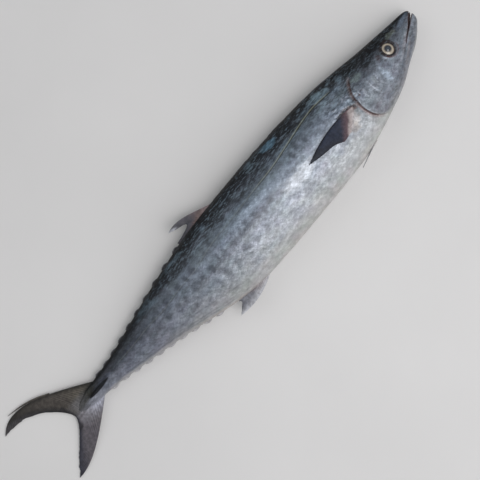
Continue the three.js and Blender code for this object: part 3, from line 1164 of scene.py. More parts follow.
def ray_group() -> bpy.types.NodeTree:
    """The rays of a fin, which part in two towards its margin.

    Returns:
        A group with a Ray mask and a Height.
    """
    given_names = {"Vector": None, "Rays": 20, "Joints": 40}
    group, shade, given, out = new_group("fin_rays", given_names, ["Ray", "Height"])
    across, along, _ = shade.add("SeparateXYZ", {0: given["Vector"]}).outputs
    turns = shade.math("MULTIPLY", across, given["Rays"])
    single = shade.math("PINGPONG", turns, 0.5)
    double = shade.math("PINGPONG", shade.math("MULTIPLY", turns, 2.0), 0.5)
    parted = shade.grade(along, 0.35, 0.6, 0.0, 1.0)
    lines = shade.math("MULTIPLY", single, shade.math("SUBTRACT", 1.0, parted))
    lines = shade.math("MULTIPLY_ADD", double, parted, lines)
    joints = shade.math("PINGPONG", shade.math("MULTIPLY", along, given["Joints"]), 0.5)
    beads = shade.grade(joints, 0.0, 0.12, 0.75, 1.0)
    ray = shade.grade(lines, 0.12, 0.34, 0.0, 1.0)
    shade.fill(out, {"Ray": shade.math("MULTIPLY", ray, beads), "Height": lines})
    return group


class Groups:
    """The shared shader groups, each built once."""

    def __init__(self) -> None:
        """Builds the groups."""
        self.scales, self.scuffs, self.clouds, self.rays = (
            fine_scales_group(), scuff_group(), cloud_group(), ray_group(),
        )


# ---- Finishes ----


def new_material(name: str) -> tuple[Look, Shade, bpy.types.Node]:
    """Starts a node material and gives back the material, its Shade and its Principled shader.

    Args:
        name: its name.

    Returns:
        The material, its Shade and its shader.
    """
    made = bpy.data.materials.new(name)
    made.use_nodes = True
    return made, Shade(made.node_tree), next(n for n in made.node_tree.nodes if n.type == "BSDF_PRINCIPLED")


@dataclass(frozen=True)
class SkinFinish:
    """Wet silvery skin: painted tones, fine scales, scuffs, pale flecks and a thin coat of slime."""

    name: str = "wet_skin"
    roughness: float = 0.4
    coat: float = 0.42
    coat_roughness: float = 0.18
    sheen: float = 0.14
    bump: float = 0.22

    def material(self, groups: Groups) -> Look:
        """Builds the material.

        Args:
            groups: the shared shader groups.

        Returns:
            The new material.
        """
        made, shade, surface = new_material(self.name)
        place = shade.place()
        scales = shade.use(groups.scales, Vector=place, Density=520.0)
        clouds = shade.use(groups.clouds, Vector=place, Scale=130.0, Detail=4.0)["Mask"]
        scuffs = shade.use(groups.scuffs, Vector=place, Scale=55.0)["Mask"]
        strokes = shade.use(groups.scuffs, Vector=place, Scale=125.0)["Mask"]
        shimmer = shade.grade(scales["Shimmer"], 0.2, 0.8, 0.93, 1.07)
        cloud = shade.grade(clouds, 0.0, 1.0, 0.86, 1.12)
        scuff = shade.grade(scuffs, 0.0, 1.0, 0.79, 1.16)
        stroke = shade.grade(strokes, 0.0, 1.0, 0.82, 1.14)
        worn = shade.product(shimmer, cloud, scuff, stroke)
        colour = shade.dimmed(shade.painted("tone", "Color"), worn, shade.painted("rubbed"))
        colour, ridge = self._lined(shade, self._flecked(shade, groups, place, colour))
        wet = shade.painted("wet")
        rough = shade.math("MULTIPLY_ADD", clouds, 0.14, self.roughness - 0.07)
        height = shade.math("MULTIPLY_ADD", scales["Height"], 0.6, shade.math("MULTIPLY", ridge, 0.6))
        height = shade.math("MULTIPLY_ADD", clouds, 0.7, height)
        height = shade.math("MULTIPLY_ADD", scuffs, 0.8, height)
        shade.fill(surface, {
            "Base Color": colour,
            "Metallic": shade.product(shade.painted("silver"), scuff, stroke, clamp=True),
            "Roughness": shade.math("MULTIPLY_ADD", wet, -0.2, shade.math("ADD", rough, 0.2)),
            "Specular IOR Level": self.sheen,
            "Coat Weight": shade.math("MULTIPLY", wet, self.coat),
            "Coat Roughness": self.coat_roughness,
            "Normal": shade.bump(height, self.bump, 0.0012),
        })
        return made

    def _flecked(self, shade: Shade, groups: Groups, place: Socket, colour: Socket) -> Socket:
        """Breaks the upper flank up into dark gaps and pale sea-blue flecks.

        Args:
            shade: the material's node helper.
            groups: the shared shader groups.
            place: where on the fish.
            colour: the skin's colour so far.

        Returns:
            The flecked colour.
        """
        here = shade.painted("flecks")
        fine = shade.use(groups.scuffs, Vector=shade.stretch(place, (0.5, 1.0, 1.0)), Scale=170.0)["Mask"]
        dark = shade.grade(fine, 0.55, 0.1, 0.0, 0.45)
        pale = shade.grade(fine, 0.5, 0.95, 0.0, 0.38)
        colour = shade.tinted(shade.math("MULTIPLY", dark, here), colour, (24, 27, 31))
        return shade.tinted(shade.math("MULTIPLY", pale, here), colour, (132, 151, 166))

    def _lined(self, shade: Shade, colour: Socket) -> tuple[Socket, Socket]:
        """Draws the lateral line, dark with a pale edge above it.

        Args:
            shade: the material's node helper.
            colour: the skin's colour so far.

        Returns:
            The colour with the line and how much of the line is at each place.
        """
        line, strength = shade.painted("lateral"), shade.painted("lateral_strength")
        near = shade.grade(shade.math("ABSOLUTE", line), 0.35, 1.1, 0.75, 0.0)
        on_line = shade.math("MULTIPLY", near, strength)
        above = shade.math("ABSOLUTE", shade.math("ADD", line, 1.6))
        glow = shade.math("MULTIPLY", shade.grade(above, 0.3, 1.2, 0.42, 0.0), strength)
        return shade.tinted(glow, shade.tinted(on_line, colour, (48, 50, 38)), (168, 172, 152)), on_line


@dataclass(frozen=True)
class FinFinish:
    """A fin's skin between its rays."""

    name: str
    rays: float
    ray_tone: Tone
    ray_strength: float
    roughness: float = 0.42
    coat: float = 0.25
    sheen: float = 0.5

    def material(self, groups: Groups) -> Look:
        """Builds the material.

        Args:
            groups: the shared shader groups.

        Returns:
            The new material.
        """
        made, shade, surface = new_material(self.name)
        across = shade.add("UVMap", uv_map="Rays").outputs[0]
        rays = shade.use(groups.rays, Vector=across, Rays=self.rays)
        clouds = shade.use(groups.clouds, Vector=shade.place(), Scale=220.0, Detail=4.0)["Mask"]
        colour = shade.dimmed(shade.painted("tone", "Color"), shade.grade(clouds, 0.0, 1.0, 0.78, 1.18))
        lit = shade.blend(1.0, colour, (*(linear(self.ray_tone) * 4), 1.0), "MULTIPLY")
        height = shade.math("MULTIPLY_ADD", clouds, 0.3, rays["Height"])
        shade.fill(surface, {
            "Base Color": shade.blend(shade.math("MULTIPLY", rays["Ray"], self.ray_strength), colour, lit),
            "Roughness": shade.math("MULTIPLY_ADD", rays["Ray"], -0.1, self.roughness),
            "Specular IOR Level": self.sheen,
            "Coat Weight": self.coat,
            "Coat Roughness": 0.2,
            "Normal": shade.bump(height, 0.35, 0.0006),
        })
        return made


@dataclass(frozen=True)
class PlainFinish:
    """A finish of one tone with soft clouds in it, for linings, spines and the floor."""

    name: str
    tone: Tone
    second: Tone
    roughness: float
    scale: float = 120.0
    coat: float = 0.0
    bump: float = 0.1

    def material(self, groups: Groups) -> Look:
        """Builds the material.

        Args:
            groups: the shared shader groups.

        Returns:
            The new material.
        """
        made, shade, surface = new_material(self.name)
        mask = shade.use(groups.clouds, Vector=shade.place(), Scale=self.scale)["Mask"]
        shade.fill(surface, {
            "Base Color": shade.tinted(mask, (*linear(self.tone), 1.0), self.second),
            "Roughness": shade.math("MULTIPLY_ADD", mask, 0.12, self.roughness - 0.06),
            "Coat Weight": self.coat,
            "Coat Roughness": 0.1,
            "Normal": shade.bump(mask, self.bump, 0.0008),
        })
        return made


@dataclass(frozen=True)
class EyeFinish:
    """The painted eyeball under its wet front."""

    name: str = "eyeball"

    def material(self, groups: Groups) -> Look:
        """Builds the material.

        Args:
            groups: the shared shader groups.

        Returns:
            The new material.
        """
        made, shade, surface = new_material(self.name)
        clouds = shade.use(groups.clouds, Vector=shade.place(), Scale=700.0)["Mask"]
        wash = shade.grade(clouds, 0.0, 1.0, 0.92, 1.06)
        shade.fill(surface, {
            "Base Color": shade.dimmed(shade.painted("tone", "Color"), wash),
            "Roughness": shade.math("MULTIPLY_ADD", clouds, 0.1, 0.2),
            "Coat Weight": 0.8,
            "Coat Roughness": 0.06,
        })
        return made


# ---- Body ----


@dataclass
class Body:
    """Head, trunk and tail stalk, grown as one skin."""

    girth_faces: int = 184
    rows: Sequence[tuple[float, float, float]] = (
        (4, 90, 1.6), (90, 555, 2.9), (555, 594, 1.5), (594, 638, 0.85), (638, 765, 1.0),
    )
    press: float = 0.7
    mouth_height: float = 28.0
    mouth_width: float = 80.0
    relief: TrunkRelief = field(default_factory=TrunkRelief)
    tones: SkinTones = field(default_factory=SkinTones)

    def stations(self) -> Array:
        """Every ring's place along the fish, closer together where the head has more to show."""
        parts = [np.arange(start, end, step) for start, end, step in self.rows]
        return np.append(np.concatenate(parts), OUTLINE.snout)

    def build(self, skin: Look, shaded_lining: Look) -> Piece:
        """Models, cuts and paints the body.

        Args:
            skin: the outer finish.
            shaded_lining: the dark finish inside the mouth and the eye sockets, painted shade in these
                hollows.

        Returns:
            The finished piece.
        """
        rings = self.stations()
        piece, u, v = new_grid("kingfish_body", len(rings) - 1, self.girth_faces)
        row = np.rint(u * (len(rings) - 1)).astype(int)
        move_corners(piece, self._roll(rings[row], v, (row == 0) | (row == len(rings) - 1)))
        self._lay_out(piece, row / (len(rings) - 1), v)
        turn_outwards(piece, lambda: bpy.ops.mesh.remove_doubles(threshold=1e-6))
        piece.data.materials.append(skin)
        piece.data.materials.append(shaded_lining)
        cutter = self._cutter(shaded_lining)
        cut = {"operation": "DIFFERENCE", "solver": "EXACT", "material_mode": "TRANSFER"}
        apply_modifier(piece, "BOOLEAN", object=cutter, **cut)
        bpy.data.objects.remove(cutter)
        self._paint(piece)
        settle(piece, "body")
        return piece

    def _roll(self, x: Array, girth: Array, ends: Array) -> Array:
        """Rolls the flat grid into the body.

        Args:
            x: each vertex's place along the fish.
            girth: its share of the way round, from the middle of the lower flank over the back.
            ends: which vertices close the two ends.

        Returns:
            The vertices' places in the frame.
        """
        turn = 2 * np.pi * girth - np.pi / 2
        up, out = np.cos(turn), np.sin(turn)
        top, bottom = OUTLINE.back(x), OUTLINE.belly(x)
        centre, deep = (top + bottom) / 2, (top - bottom) / 2
        wide = OUTLINE.half_width(x) * (1 + 0.05 * up)
        full = np.sign(out) * np.abs(out) ** 0.94
        y, z = centre + deep * up, OUTLINE.middle(x) + wide * full
        normal = np.hypot(up / deep, out / wide)
        stand = self.relief(x, y) * ease(0.0, 0.22, np.abs(out))
        groove = window(350, 372, 596, 612, x)
        stand -= 1.5 * groove * ease(0.06, 0.0, np.abs(out)) * (up > 0)
        y = y + stand * (up / deep) / normal
        z = z + stand * (out / wide) / normal
        y, z = np.where(ends, centre, y), np.where(ends, OUTLINE.middle(x), z)
        z = (z + np.sqrt(z * z + self.press**2)) / 2
        return DRAFT.metres(x, y, z)

    @staticmethod
    def _lay_out(piece: Piece, length: Array, girth: Array) -> None:
        """Gives the skin a bake map of two strips, rear half and front half.

        Args:
            piece: the body while it is still a grid.
            length: each vertex's share of the rows.
            girth: each vertex's share of the way round.
        """
        layer = piece.data.uv_layers.active
        layer.name = "OFBake"
        vertex = np.empty(len(piece.data.loops), np.int32)
        piece.data.loops.foreach_get("vertex_index", vertex)
        middle = length[vertex].reshape(-1, 4).mean(1) > 0.5
        front = np.repeat(middle, 4)
        along = length[vertex] * 2 - front
        places = np.stack([0.004 + 0.992 * along, 0.004 + 0.488 * girth[vertex] + 0.504 * front], axis=1)
        layer.uv.foreach_set("vector", places.astype(np.float32).ravel())

    def _cutter(self, shaded_lining: Look) -> Piece:
        """The mouth's wedge and two eye sockets, joined to cut them in one go.

        Args:
            shaded_lining: the cut faces' finish, dark as painted shade.

        Returns:
            The joined cutter.
        """
        wedge, u, v = new_grid("mouth_wedge", 2, 40)
        high, low = UPPER_LIP.at(v), LOWER_LIP.at(v)
        flat = low + (high - low) * u[:, None]
        move_corners(wedge, DRAFT.metres(flat[:, 0], flat[:, 1], np.full(len(flat), self.mouth_height)))
        turn_outwards(wedge)
        apply_modifier(wedge, "SOLIDIFY", thickness=self.mouth_width * MM, offset=0.0)
        pieces = [wedge] + [Eye(flank).socket() for flank in Flank]
        for part in pieces:
            part.data.materials.clear()
            part.data.materials.append(shaded_lining)
        join(wedge, pieces)
        turn_outwards(wedge)
        return wedge

    def _paint(self, piece: Piece) -> None:
        """Paints the tones and what the skin's finish reads on the finished mesh.

        Args:
            piece: the mesh.
        """
        x, y, _ = DRAFT.read(corners(piece))
        tones = self.tones
        paint_colours(piece, "tone", tones.colours(x, y))
        for quality in (tones.silver, tones.wet, tones.flecks, tones.rubbed):
            paint_values(piece, quality.__name__, quality(x, y))
        offset, share = LATERAL.nearest(x, y)
        paint_values(piece, "lateral", np.clip(offset, -12, 12))
        fade = ease(0.01, 0.05, share) * (0.22 + 0.78 * ease(0.42, 0.28, share))
        paint_values(piece, "lateral_strength", fade * ease(0.97, 0.9, share))


# ---- Tongue and eyes ----


@dataclass
class Tongue:
    """Flesh between the jaws, dark brown as painted shade inside the open mouth."""

    front: float = 763.0
    back: float = 716.0
    half_width: float = 5.0

    def build(self, look: Look) -> Piece:
        """Models the flesh from a sphere laid along the mouth.

        Args:
            look: the mouth's finish.

        Returns:
            The finished piece.
        """
        piece, ball = new_ball("tongue", 48, 24)
        share = np.clip((ball[:, 0] + 1) / 2, 0, 1) ** 0.6
        x = self.back + (self.front - self.back) * share
        gap = np.clip((x - MOUTH_CORNER) / (MOUTH_FRONT - MOUTH_CORNER), 0, 1)
        middle = (UPPER_LIP.at(gap) + LOWER_LIP.at(gap)) / 2
        wide = self.half_width + 5 * (1 - share)
        places = DRAFT.metres(x, middle[:, 1] + 4.2 * ball[:, 1], OUTLINE.middle(x) + wide * ball[:, 2])
        move_corners(piece, places)
        piece.data.materials.append(look)
        settle(piece, None)
        return piece


@dataclass
class Eye:
    """An eyeball set in the flank: dark rim, cream iris and cloudy pupil."""

    flank: Flank
    radius: float = 11.4
    half_depth: float = 6.0
    sunk: float = 4.6
    iris: float = 9.9
    pupil: float = 5.0

    @property
    def label(self) -> str:
        """The side's name."""
        return self.flank.name.lower()

    def _axes(self) -> tuple[Array, Array, Array, Array]:
        """The eye's centre and its forward, upward and outward directions, in draft millimetres.

        Returns:
            Centre, forward, upward, outward.
        """
        probe = np.array([-2.0, 2.0])
        rise_x = np.diff(OUTLINE.skin(EYE_X + probe, np.full(2, EYE_Y), self.flank))[0] / 4
        rise_y = np.diff(OUTLINE.skin(np.full(2, EYE_X), EYE_Y + probe, self.flank))[0] / 4
        outward = np.array([-rise_x, -rise_y, 1.0])
        outward *= self.flank.value / np.linalg.norm(outward)
        forward = np.array([1.0, 0, 0]) - outward[0] * outward
        forward /= np.linalg.norm(forward)
        height = OUTLINE.skin(np.array([EYE_X]), np.array([EYE_Y]), self.flank)[0]
        centre = np.array([EYE_X, EYE_Y, height]) - self.sunk * outward
        return centre, forward, np.cross(outward, forward), outward

    def _place(self, local: Array) -> Array:
        """Puts points given along forward, upward and outward into the frame.

        Args:
            local: points along forward, upward and outward.

        Returns:
            Places in the frame.
        """
        centre, forward, upward, outward = self._axes()
        spot = centre + local[:, :1] * forward + local[:, 1:2] * upward + local[:, 2:] * outward
        return DRAFT.metres(spot[:, 0], spot[:, 1], spot[:, 2])

    def socket(self) -> Piece:
        """The hollow that holds the eye, a little larger than it.

        Returns:
            The cutter.
        """
        piece, ball = new_ball("socket", 64, 32)
        room = self.radius + 0.25
        move_corners(piece, self._place(ball * (room, room, self.half_depth + 1.2)))
        return piece

    def build(self, look: Look) -> Piece:
        """Models and dresses the eyeball.

        Args:
            look: the eyeball's finish.

        Returns:
            The finished piece.
        """
        piece, ball = new_ball(f"eyeball_{self.label}", 96, 64)
        away = np.hypot(ball[:, 0], ball[:, 1]) * self.radius
        front = ball[:, 2] > 0
        dish = 0.5 * ease(self.iris + 1.2, self.iris - 0.6, away) * front
        lens = 0.8 * ease(self.pupil, self.pupil * 0.2, away) * front
        rim = 0.15 * np.exp(-(((away - self.pupil) / 0.6) ** 2)) * front
        local = ball * (self.radius, self.radius, self.half_depth)
        local[:, 2] += rim + lens - dish
        move_corners(piece, self._place(local))
        piece.data.materials.append(look)
        self._paint(piece, away, ball)
        settle(piece, f"eye_{self.label}")
        return piece

    def _paint(self, piece: Piece, away: Array, ball: Array) -> None:
        """Paints rim, iris and pupil as rings round the eye's axis.

        Args:
            piece: the eyeball.
            away: each vertex's distance from the axis.
            ball: each vertex's place on the plain sphere.
        """
        angle = np.arctan2(ball[:, 1], ball[:, 0])
        ripple = Grain(31)(np.cos(angle) * 9, np.sin(angle) * 9, 3, 3, 2)
        lower = ease(0.1, 0.8, -np.sin(angle - 0.35))
        tone = plain((58, 45, 42), len(away))
        tone = tint(tone, (122, 52, 46), lower * ease(11.2, 10.2, away) * 0.7)
        ring = ease(self.iris + 0.5, self.iris - 1.3, away + ripple * 0.25)
        tone = tint(tone, (172, 162, 146), ring)
        bright = ease(2.0, 0.2, np.abs(away - (self.iris + self.pupil) / 2))
        bright *= 0.6 + 0.4 * np.cos(angle - 0.6)
        tone = tint(tone, (212, 202, 184), bright * 0.9)
        tone = tint(tone, (92, 84, 76), ease(0.9, 0.1, np.abs(away - self.pupil - 0.3)) * 0.7)
        tone = tint(tone, (44, 50, 60), ease(self.pupil + 0.2, self.pupil - 0.4, away))
        tone = tint(tone, (76, 88, 100), ease(self.pupil * 0.75, 0.4, away) * 0.6)
        tone[ball[:, 2] < -0.1] = linear((40, 32, 30))
        paint_colours(piece, "tone", tone)


# ---- Fins ----


@dataclass(frozen=True)
class FinTones:
    """How a fin's membrane is coloured from its root to its margin."""

    root: Tone
    middle: Tone
    margin: Tone
    lead: Tone
    tip: Tone
    lead_width: float = 0.15

    def colours(self, u: Array, v: Array, noise: Array) -> Array:
        """The membrane's colours.

        Args:
            u: share across the fin, from its leading ray.
            v: share from root to margin.
            noise: unevenness, -1 to 1.

        Returns:
            One colour for each vertex.
        """
        depth = np.clip(v + 0.1 * noise, 0, 1)
        tone = tint(plain(self.root, len(u)), self.middle, ease(0.05, 0.5, depth))
        tone = tint(tone, self.margin, ease(0.72, 0.98, depth))
        tone = tint(tone, self.lead, ease(self.lead_width, 0.02, u) * 0.8)
        return tint(tone, self.tip, ease(0.86, 1.0, depth) * ease(0.3, 0.05, u))


LEVEL = Profile([(0, 0), (1, 0)])


@dataclass
class Blade:
    """A fin blade whose rays run from its base to its margin."""

    name: str
    node: str
    slot: str
    base: Path
    margin: Path
    tones: FinTones
    rays: int
    bow_x: Profile = LEVEL
    bow_y: Profile = LEVEL
    rows: int = 28
    root_thickness: float = 3.0
    edge_thickness: float = 0.7
    fray: float = 1.2
    wave: float = 0.5
    seed: int = 1
    ray_columns: int = 6
    lean: float = 0.0

    def flat(self, u: Array, v: Array) -> Array:
        """The blade's middle in the drafting plane.

        Args:
            u: share across the fin, from its leading ray.
            v: share from root to margin.

        Returns:
            One x and y for each point.
        """
        swell = 4 * v * (1 - v) * (1 + self.lean * (v - 0.5))
        place = self.base.at(u) * (1 - v)[:, None] + self.margin.at(u) * v[:, None]
        return place + np.stack([self.bow_x(u) * swell, self.bow_y(u) * swell], axis=1)

    def height(self, x: Array, y: Array, u: Array, v: Array) -> Array:
        """How high the blade's middle lies above the slab."""
        ripple = Grain(self.seed)(u * 100, v * 40, 22, 30, 2)
        return OUTLINE.middle(x) + self.wave * ripple * v

    def thickness(self, u: Array, v: Array) -> Array:
        """How thick the blade is, with a ridge along each ray.

        Args:
            u: share across the fin, from its leading ray.
            v: share from root to margin.

        Returns:
            Millimetres.
        """
        ridge = 0.5 + 0.5 * np.cos(2 * np.pi * u * self.rays)
        split = 0.5 + 0.5 * np.cos(4 * np.pi * u * self.rays)
        rays = ridge + (split - ridge) * ease(0.35, 0.6, v)
        plain = self.root_thickness + (self.edge_thickness - self.root_thickness) * np.sqrt(v)
        return plain * (0.7 + 0.3 * rays)

    def colours(self, u: Array, v: Array) -> Array:
        """The membrane's colours."""
        return self.tones.colours(u, v, Grain(self.seed + 9)(u * 60, v * 30, 9, 7, 3))

    def build(self, look: Look) -> Piece:
        """Models and dresses the fin.

        Args:
            look: the fin's finish.

        Returns:
            The finished piece.
        """
        piece = self.sheet(look)
        settle(piece, self.node)
        return piece

    def sheet(self, look: Look) -> Piece:
        """The fin's own mesh, before it is settled.

        Args:
            look: the piece's finish.

        Returns:
            The mesh.
        """
        columns = self.rays * self.ray_columns
        piece, u, v = new_grid(self.name, columns, self.rows)
        torn = Grain(self.seed + 50)(u * 1000, v * 0, 1000 / self.rays / 2, 1, 2)
        reach = v * (1 - self.fray / 100 * (1 + torn) * ease(0.0, 0.04, u) * ease(1.0, 0.96, u))
        flat = self.flat(u, reach)
        z = self.height(flat[:, 0], flat[:, 1], u, v)
        thick = self.thickness(u, v)
        z = np.maximum(z, thick / 2 + 0.15)
        move_corners(piece, DRAFT.metres(flat[:, 0], flat[:, 1], z))
        piece.data.uv_layers.active.name = "Rays"
        paint_colours(piece, "tone", self.colours(u, v))
        group = piece.vertex_groups.new(name="thickness")
        weights = thick / thick.max()
        for index, weight in enumerate(weights):
            group.add([index], float(weight), "REPLACE")
        piece.data.materials.append(look)
        turn_outwards(piece)
        wall = {"thickness": float(thick.max()) * MM, "offset": 0.0, "use_quality_normals": True}
        apply_modifier(piece, "SOLIDIFY", vertex_group=group.name, **wall)
        piece.vertex_groups.clear()
        return piece


@dataclass
class PinkBlade(Blade):
    """The second dorsal fin, flushed pink at its foot."""

    def colours(self, u: Array, v: Array) -> Array:
        """The membrane's colours with the flush added.

        Args:
            u: share across the fin, from its leading ray.
            v: share from root to margin.

        Returns:
            One colour for each point.
        """
        tone = super().colours(u, v)
        flush = ease(0.62, 0.2, v + 0.12 * Grain(78)(u * 30, v * 20, 5, 5, 2)) * ease(0.9, 0.5, u)
        tone = tint(tone, (120, 98, 94), flush * 0.65)
        foot = ease(0.34, 0.12, v) * ease(0.7, 0.2, u)
        return tint(tone, (150, 138, 142), foot * 0.7)


@dataclass
class FlankBlade(Blade):
    """A pectoral fin, folded back along the flank."""

    flank: Flank = Flank.RIGHT
    lift: float = 1.1

    def colours(self, u: Array, v: Array) -> Array:
        """A fleshy peach root, then a reddish-brown band, then blue-black.

        Args:
            u: share across the fin, from its leading ray.
            v: share from root to margin.

        Returns:
            One colour for each point.
        """
        tone = super().colours(u, v)
        base, margin = self.base.at(u), self.margin.at(u)
        away = v * np.hypot(*(margin - base).T) + 2.4 * Grain(77)(u * 40, v * 60, 7, 7, 2)
        tone = tint(tone, (94, 74, 76), ease(30, 13, away) * 0.75)
        flesh = ease(15, 6, away) * ease(0.0, 0.16, u)
        tone = tint(tone, (158, 149, 145), flesh * 0.95)
        return tint(tone, (178, 174, 172), ease(6, 1, away) * ease(0.2, 0.5, u) * 0.8)

    def height(self, x: Array, y: Array, u: Array, v: Array) -> Array:
        """The blade follows the upper flank, or lies pressed under the lower one.

        Args:
            x: the points' x.
            y: the points' y.
            u: share across the fin, from its leading ray.
            v: share from root to margin.

        Returns:
            One height for each point.
        """
        if self.flank is Flank.LEFT:
            return np.full(len(x), 0.75)
        ripple = Grain(self.seed)(u * 100, v * 40, 26, 30)
        skin = OUTLINE.skin(x, y, self.flank)
        rise = 1.3 * ease(0.3, 1, v) - 1.4 * ease(0.16, 0.0, v)
        return skin + self.lift + self.wave * ripple * v + rise


@dataclass
class BellyBlade(Blade):
    """A pelvic fin, small and folded back under the belly."""

    flank: Flank = Flank.RIGHT
    root: float = 588.0
    tip: float = 545.0
    inner: float = 1.2
    outer_root: float = 7.5
    outer_tip: float = 3.0
    droop: float = 4.6

    def flat(self, u: Array, v: Array) -> Array:
        """The blade lies just under the belly's edge.

        Args:
            u: share across the fin, from its leading ray.
            v: share from root to margin.

        Returns:
            One x and y for each point.
        """
        x = self.root + (self.tip - self.root) * v
        across = self._across(u, v)
        round_off = np.sqrt(np.clip(1 - (across / OUTLINE.half_width(x)) ** 2, 0, 1))
        top, bottom = OUTLINE.back(x), OUTLINE.belly(x)
        edge = (top + bottom) / 2 - (top - bottom) / 2 * round_off
        return np.stack([x, edge - 0.6 - self.droop * v * v], axis=1)

    def _across(self, u: Array, v: Array) -> Array:
        """Sideways place of a point of the fin from the middle plane."""
        outer = self.outer_root + (self.outer_tip - self.outer_root) * v
        return self.flank.value * (self.inner + (outer - self.inner) * u)

    def height(self, x: Array, y: Array, u: Array, v: Array) -> Array:
        """The fin lies beside the middle plane."""
        return OUTLINE.middle(x) + self._across(u, v)


class Fins:
    """All the fins but the folded first dorsal."""

    FINLETS_A_ROW = 10
    CAUDAL_TONES = FinTones((80, 78, 73), (64, 62, 60), (34, 35, 38), (34, 34, 33), (58, 58, 62))
    DORSAL_TONES = FinTones((118, 106, 102), (72, 72, 80), (52, 54, 62), (80, 80, 88), (186, 190, 200))
    ANAL_TONES = FinTones(
        (128, 117, 117), (112, 115, 124), (94, 97, 107), (184, 187, 194), (196, 200, 206), lead_width=0.4
    )
    PECTORAL_TONES = FinTones((42, 48, 62), (36, 42, 56), (24, 28, 38), (18, 20, 26), (34, 38, 46))
    PELVIC_TONES = FinTones(
        (200, 198, 196), (176, 178, 182), (150, 152, 158), (190, 190, 192), (170, 172, 176)
    )
    UPPER_FINLET_TONES = FinTones((32, 33, 36), (58, 59, 61), (138, 138, 138), (60, 61, 63), (138, 138, 138))
    LOWER_FINLET_TONES = FinTones(
        (158, 159, 164), (166, 167, 172), (176, 175, 177), (160, 160, 164), (176, 175, 176)
    )

    def __init__(self, groups: Groups) -> None:
        """Builds the fins' finishes.

        Args:
            groups: the shared shader groups.
        """
        tail = FinFinish("tail_membrane", 34, (200, 198, 200), 0.6, coat=0.1, sheen=0.25)
        pale = FinFinish("pale_membrane", 16, (168, 165, 162), 0.45, coat=0.15, sheen=0.35)
        dark = FinFinish("dark_membrane", 22, (190, 192, 200), 0.5, coat=0.05, sheen=0.16)
        looks = [finish.material(groups) for finish in (tail, pale, dark)]
        self.tail_look, self.pale_look, self.dark_look = looks

    def caudal(self) -> Piece:
        """The forked tail, with the front ray of its upper lobe frayed loose.

        Returns:
            The finished piece.
        """
        blade = Blade(
            "caudal_fin_blade", "caudal_fin", "tail_fin",
            base=Path([(58, 6), (30, 3), (18, -2.5), (28, -8), (56, -11)]),
            margin=Path([
                (-96, 57.5), (-63, 53), (-37, 39.3), (-18, 20.5), (-8, 4), (-7, -6), (-17, -19), (-35, -34),
                (-54, -48.5), (-72.4, -66),
            ]),
            tones=self.CAUDAL_TONES, rays=34, rows=56,
            bow_x=Profile([(0, -8), (0.25, -2), (0.5, 0), (0.75, -1.2), (1, -5)]),
            bow_y=Profile([(0, 27.5), (0.25, 6.9), (0.5, 0), (0.75, -3), (1, -12)]),
            root_thickness=4.6, edge_thickness=0.9, fray=1.6, wave=0.4, seed=3, lean=0.8,
        )
        piece = blade.sheet(self.tail_look)
        join(piece, [self._frayed_ray()])
        self._tint_lobes(piece)
        settle(piece, blade.node)
        return piece

    def _frayed_ray(self) -> Piece:
        """The loose front ray of the upper lobe, a thin tapering strand.

        Returns:
            Its mesh.
        """
        return Blade(
            "frayed_ray", "caudal_fin", "tail_fin",
            base=Path([(-4, 49), (-24, 61), (-46, 69.5), (-70, 74.5)]),
            margin=Path([(-6, 45.5), (-25, 58), (-47, 67.6), (-70, 73.8)]),
            tones=self.CAUDAL_TONES, rays=12, rows=6,
            root_thickness=1.4, edge_thickness=0.9, fray=0, wave=0, seed=5,
        ).sheet(self.tail_look)

    @staticmethod
    def _tint_lobes(piece: Piece) -> None:
        """Warms and darkens the upper lobe and makes the lower one lilac grey.

        Args:
            piece: the tail.
        """
        x, y, _ = DRAFT.read(corners(piece))
        layer = piece.data.attributes["tone"]
        flat = np.empty(len(x) * 4, np.float32)
        layer.data.foreach_get("color", flat)
        full = flat.reshape(-1, 4)
        tone = full[:, :3].astype(float)
        noise = Grain(71)(x, y, 16, 8, 3)
        tone = tone * np.array([1.04, 1.0, 0.94])
        tone = mix(tone, tone * np.array([1.6, 1.66, 2.1]), ease(2, -14, y))
        # Pale flesh where the rays leave the tail stalk, drawn out towards the fork and down the lower lobe.
        away = np.abs(y + 2) * (1 + 0.4 * (y > 0)) + 3 * noise
        near = ease(-16, 16, x + 4 * noise) * ease(30, 12, away)
        tone = mix(tone, stalk_tones(x, y), near)
        edge = ease(7, 1, x + 9 + 0.019 * np.abs(y + 1) ** 1.72 - 3 * noise) * (np.abs(y) < 22)
        tone = tint(tone, (34, 33, 35), edge * 0.7)
        full[:, :3] = tone
        layer.data.foreach_set("color", full.astype(np.float32).ravel())

    def second_dorsal(self) -> Piece:
        """The short second dorsal fin, curved back to a point.

        Returns:
            The finished piece.
        """
        return PinkBlade(
            "second_dorsal_blade", "second_dorsal_fin", "pale_fin",
            base=Path([(370, 41), (330, 38), (290, 35)]),
            margin=Path([(290, 63.3), (301, 58), (314, 54), (317, 50), (306, 46.5), (288, 43.8)]),
            tones=self.DORSAL_TONES, rays=16, bow_y=Profile([(0, 6), (0.5, 1.5), (1, 0)]),
            root_thickness=3.6, wave=1.0, seed=13, lean=1.8,
        ).build(self.pale_look)

    def anal(self) -> Piece:
        """The anal fin, under and a little behind the second dorsal.

        Returns:
            The finished piece.
        """
        return Blade(
            "anal_blade", "anal_fin", "pale_fin",
            base=Path([(350, -83), (310, -78), (278, -71)]),
            margin=Path([(266, -94.5), (275, -88.5), (282.5, -82.5), (279, -77)]),
            tones=self.ANAL_TONES, rays=16, bow_y=Profile([(0, -8), (0.5, -2), (1, 0)]),
            root_thickness=3.6, wave=0.8, seed=17,
        ).build(self.pale_look)

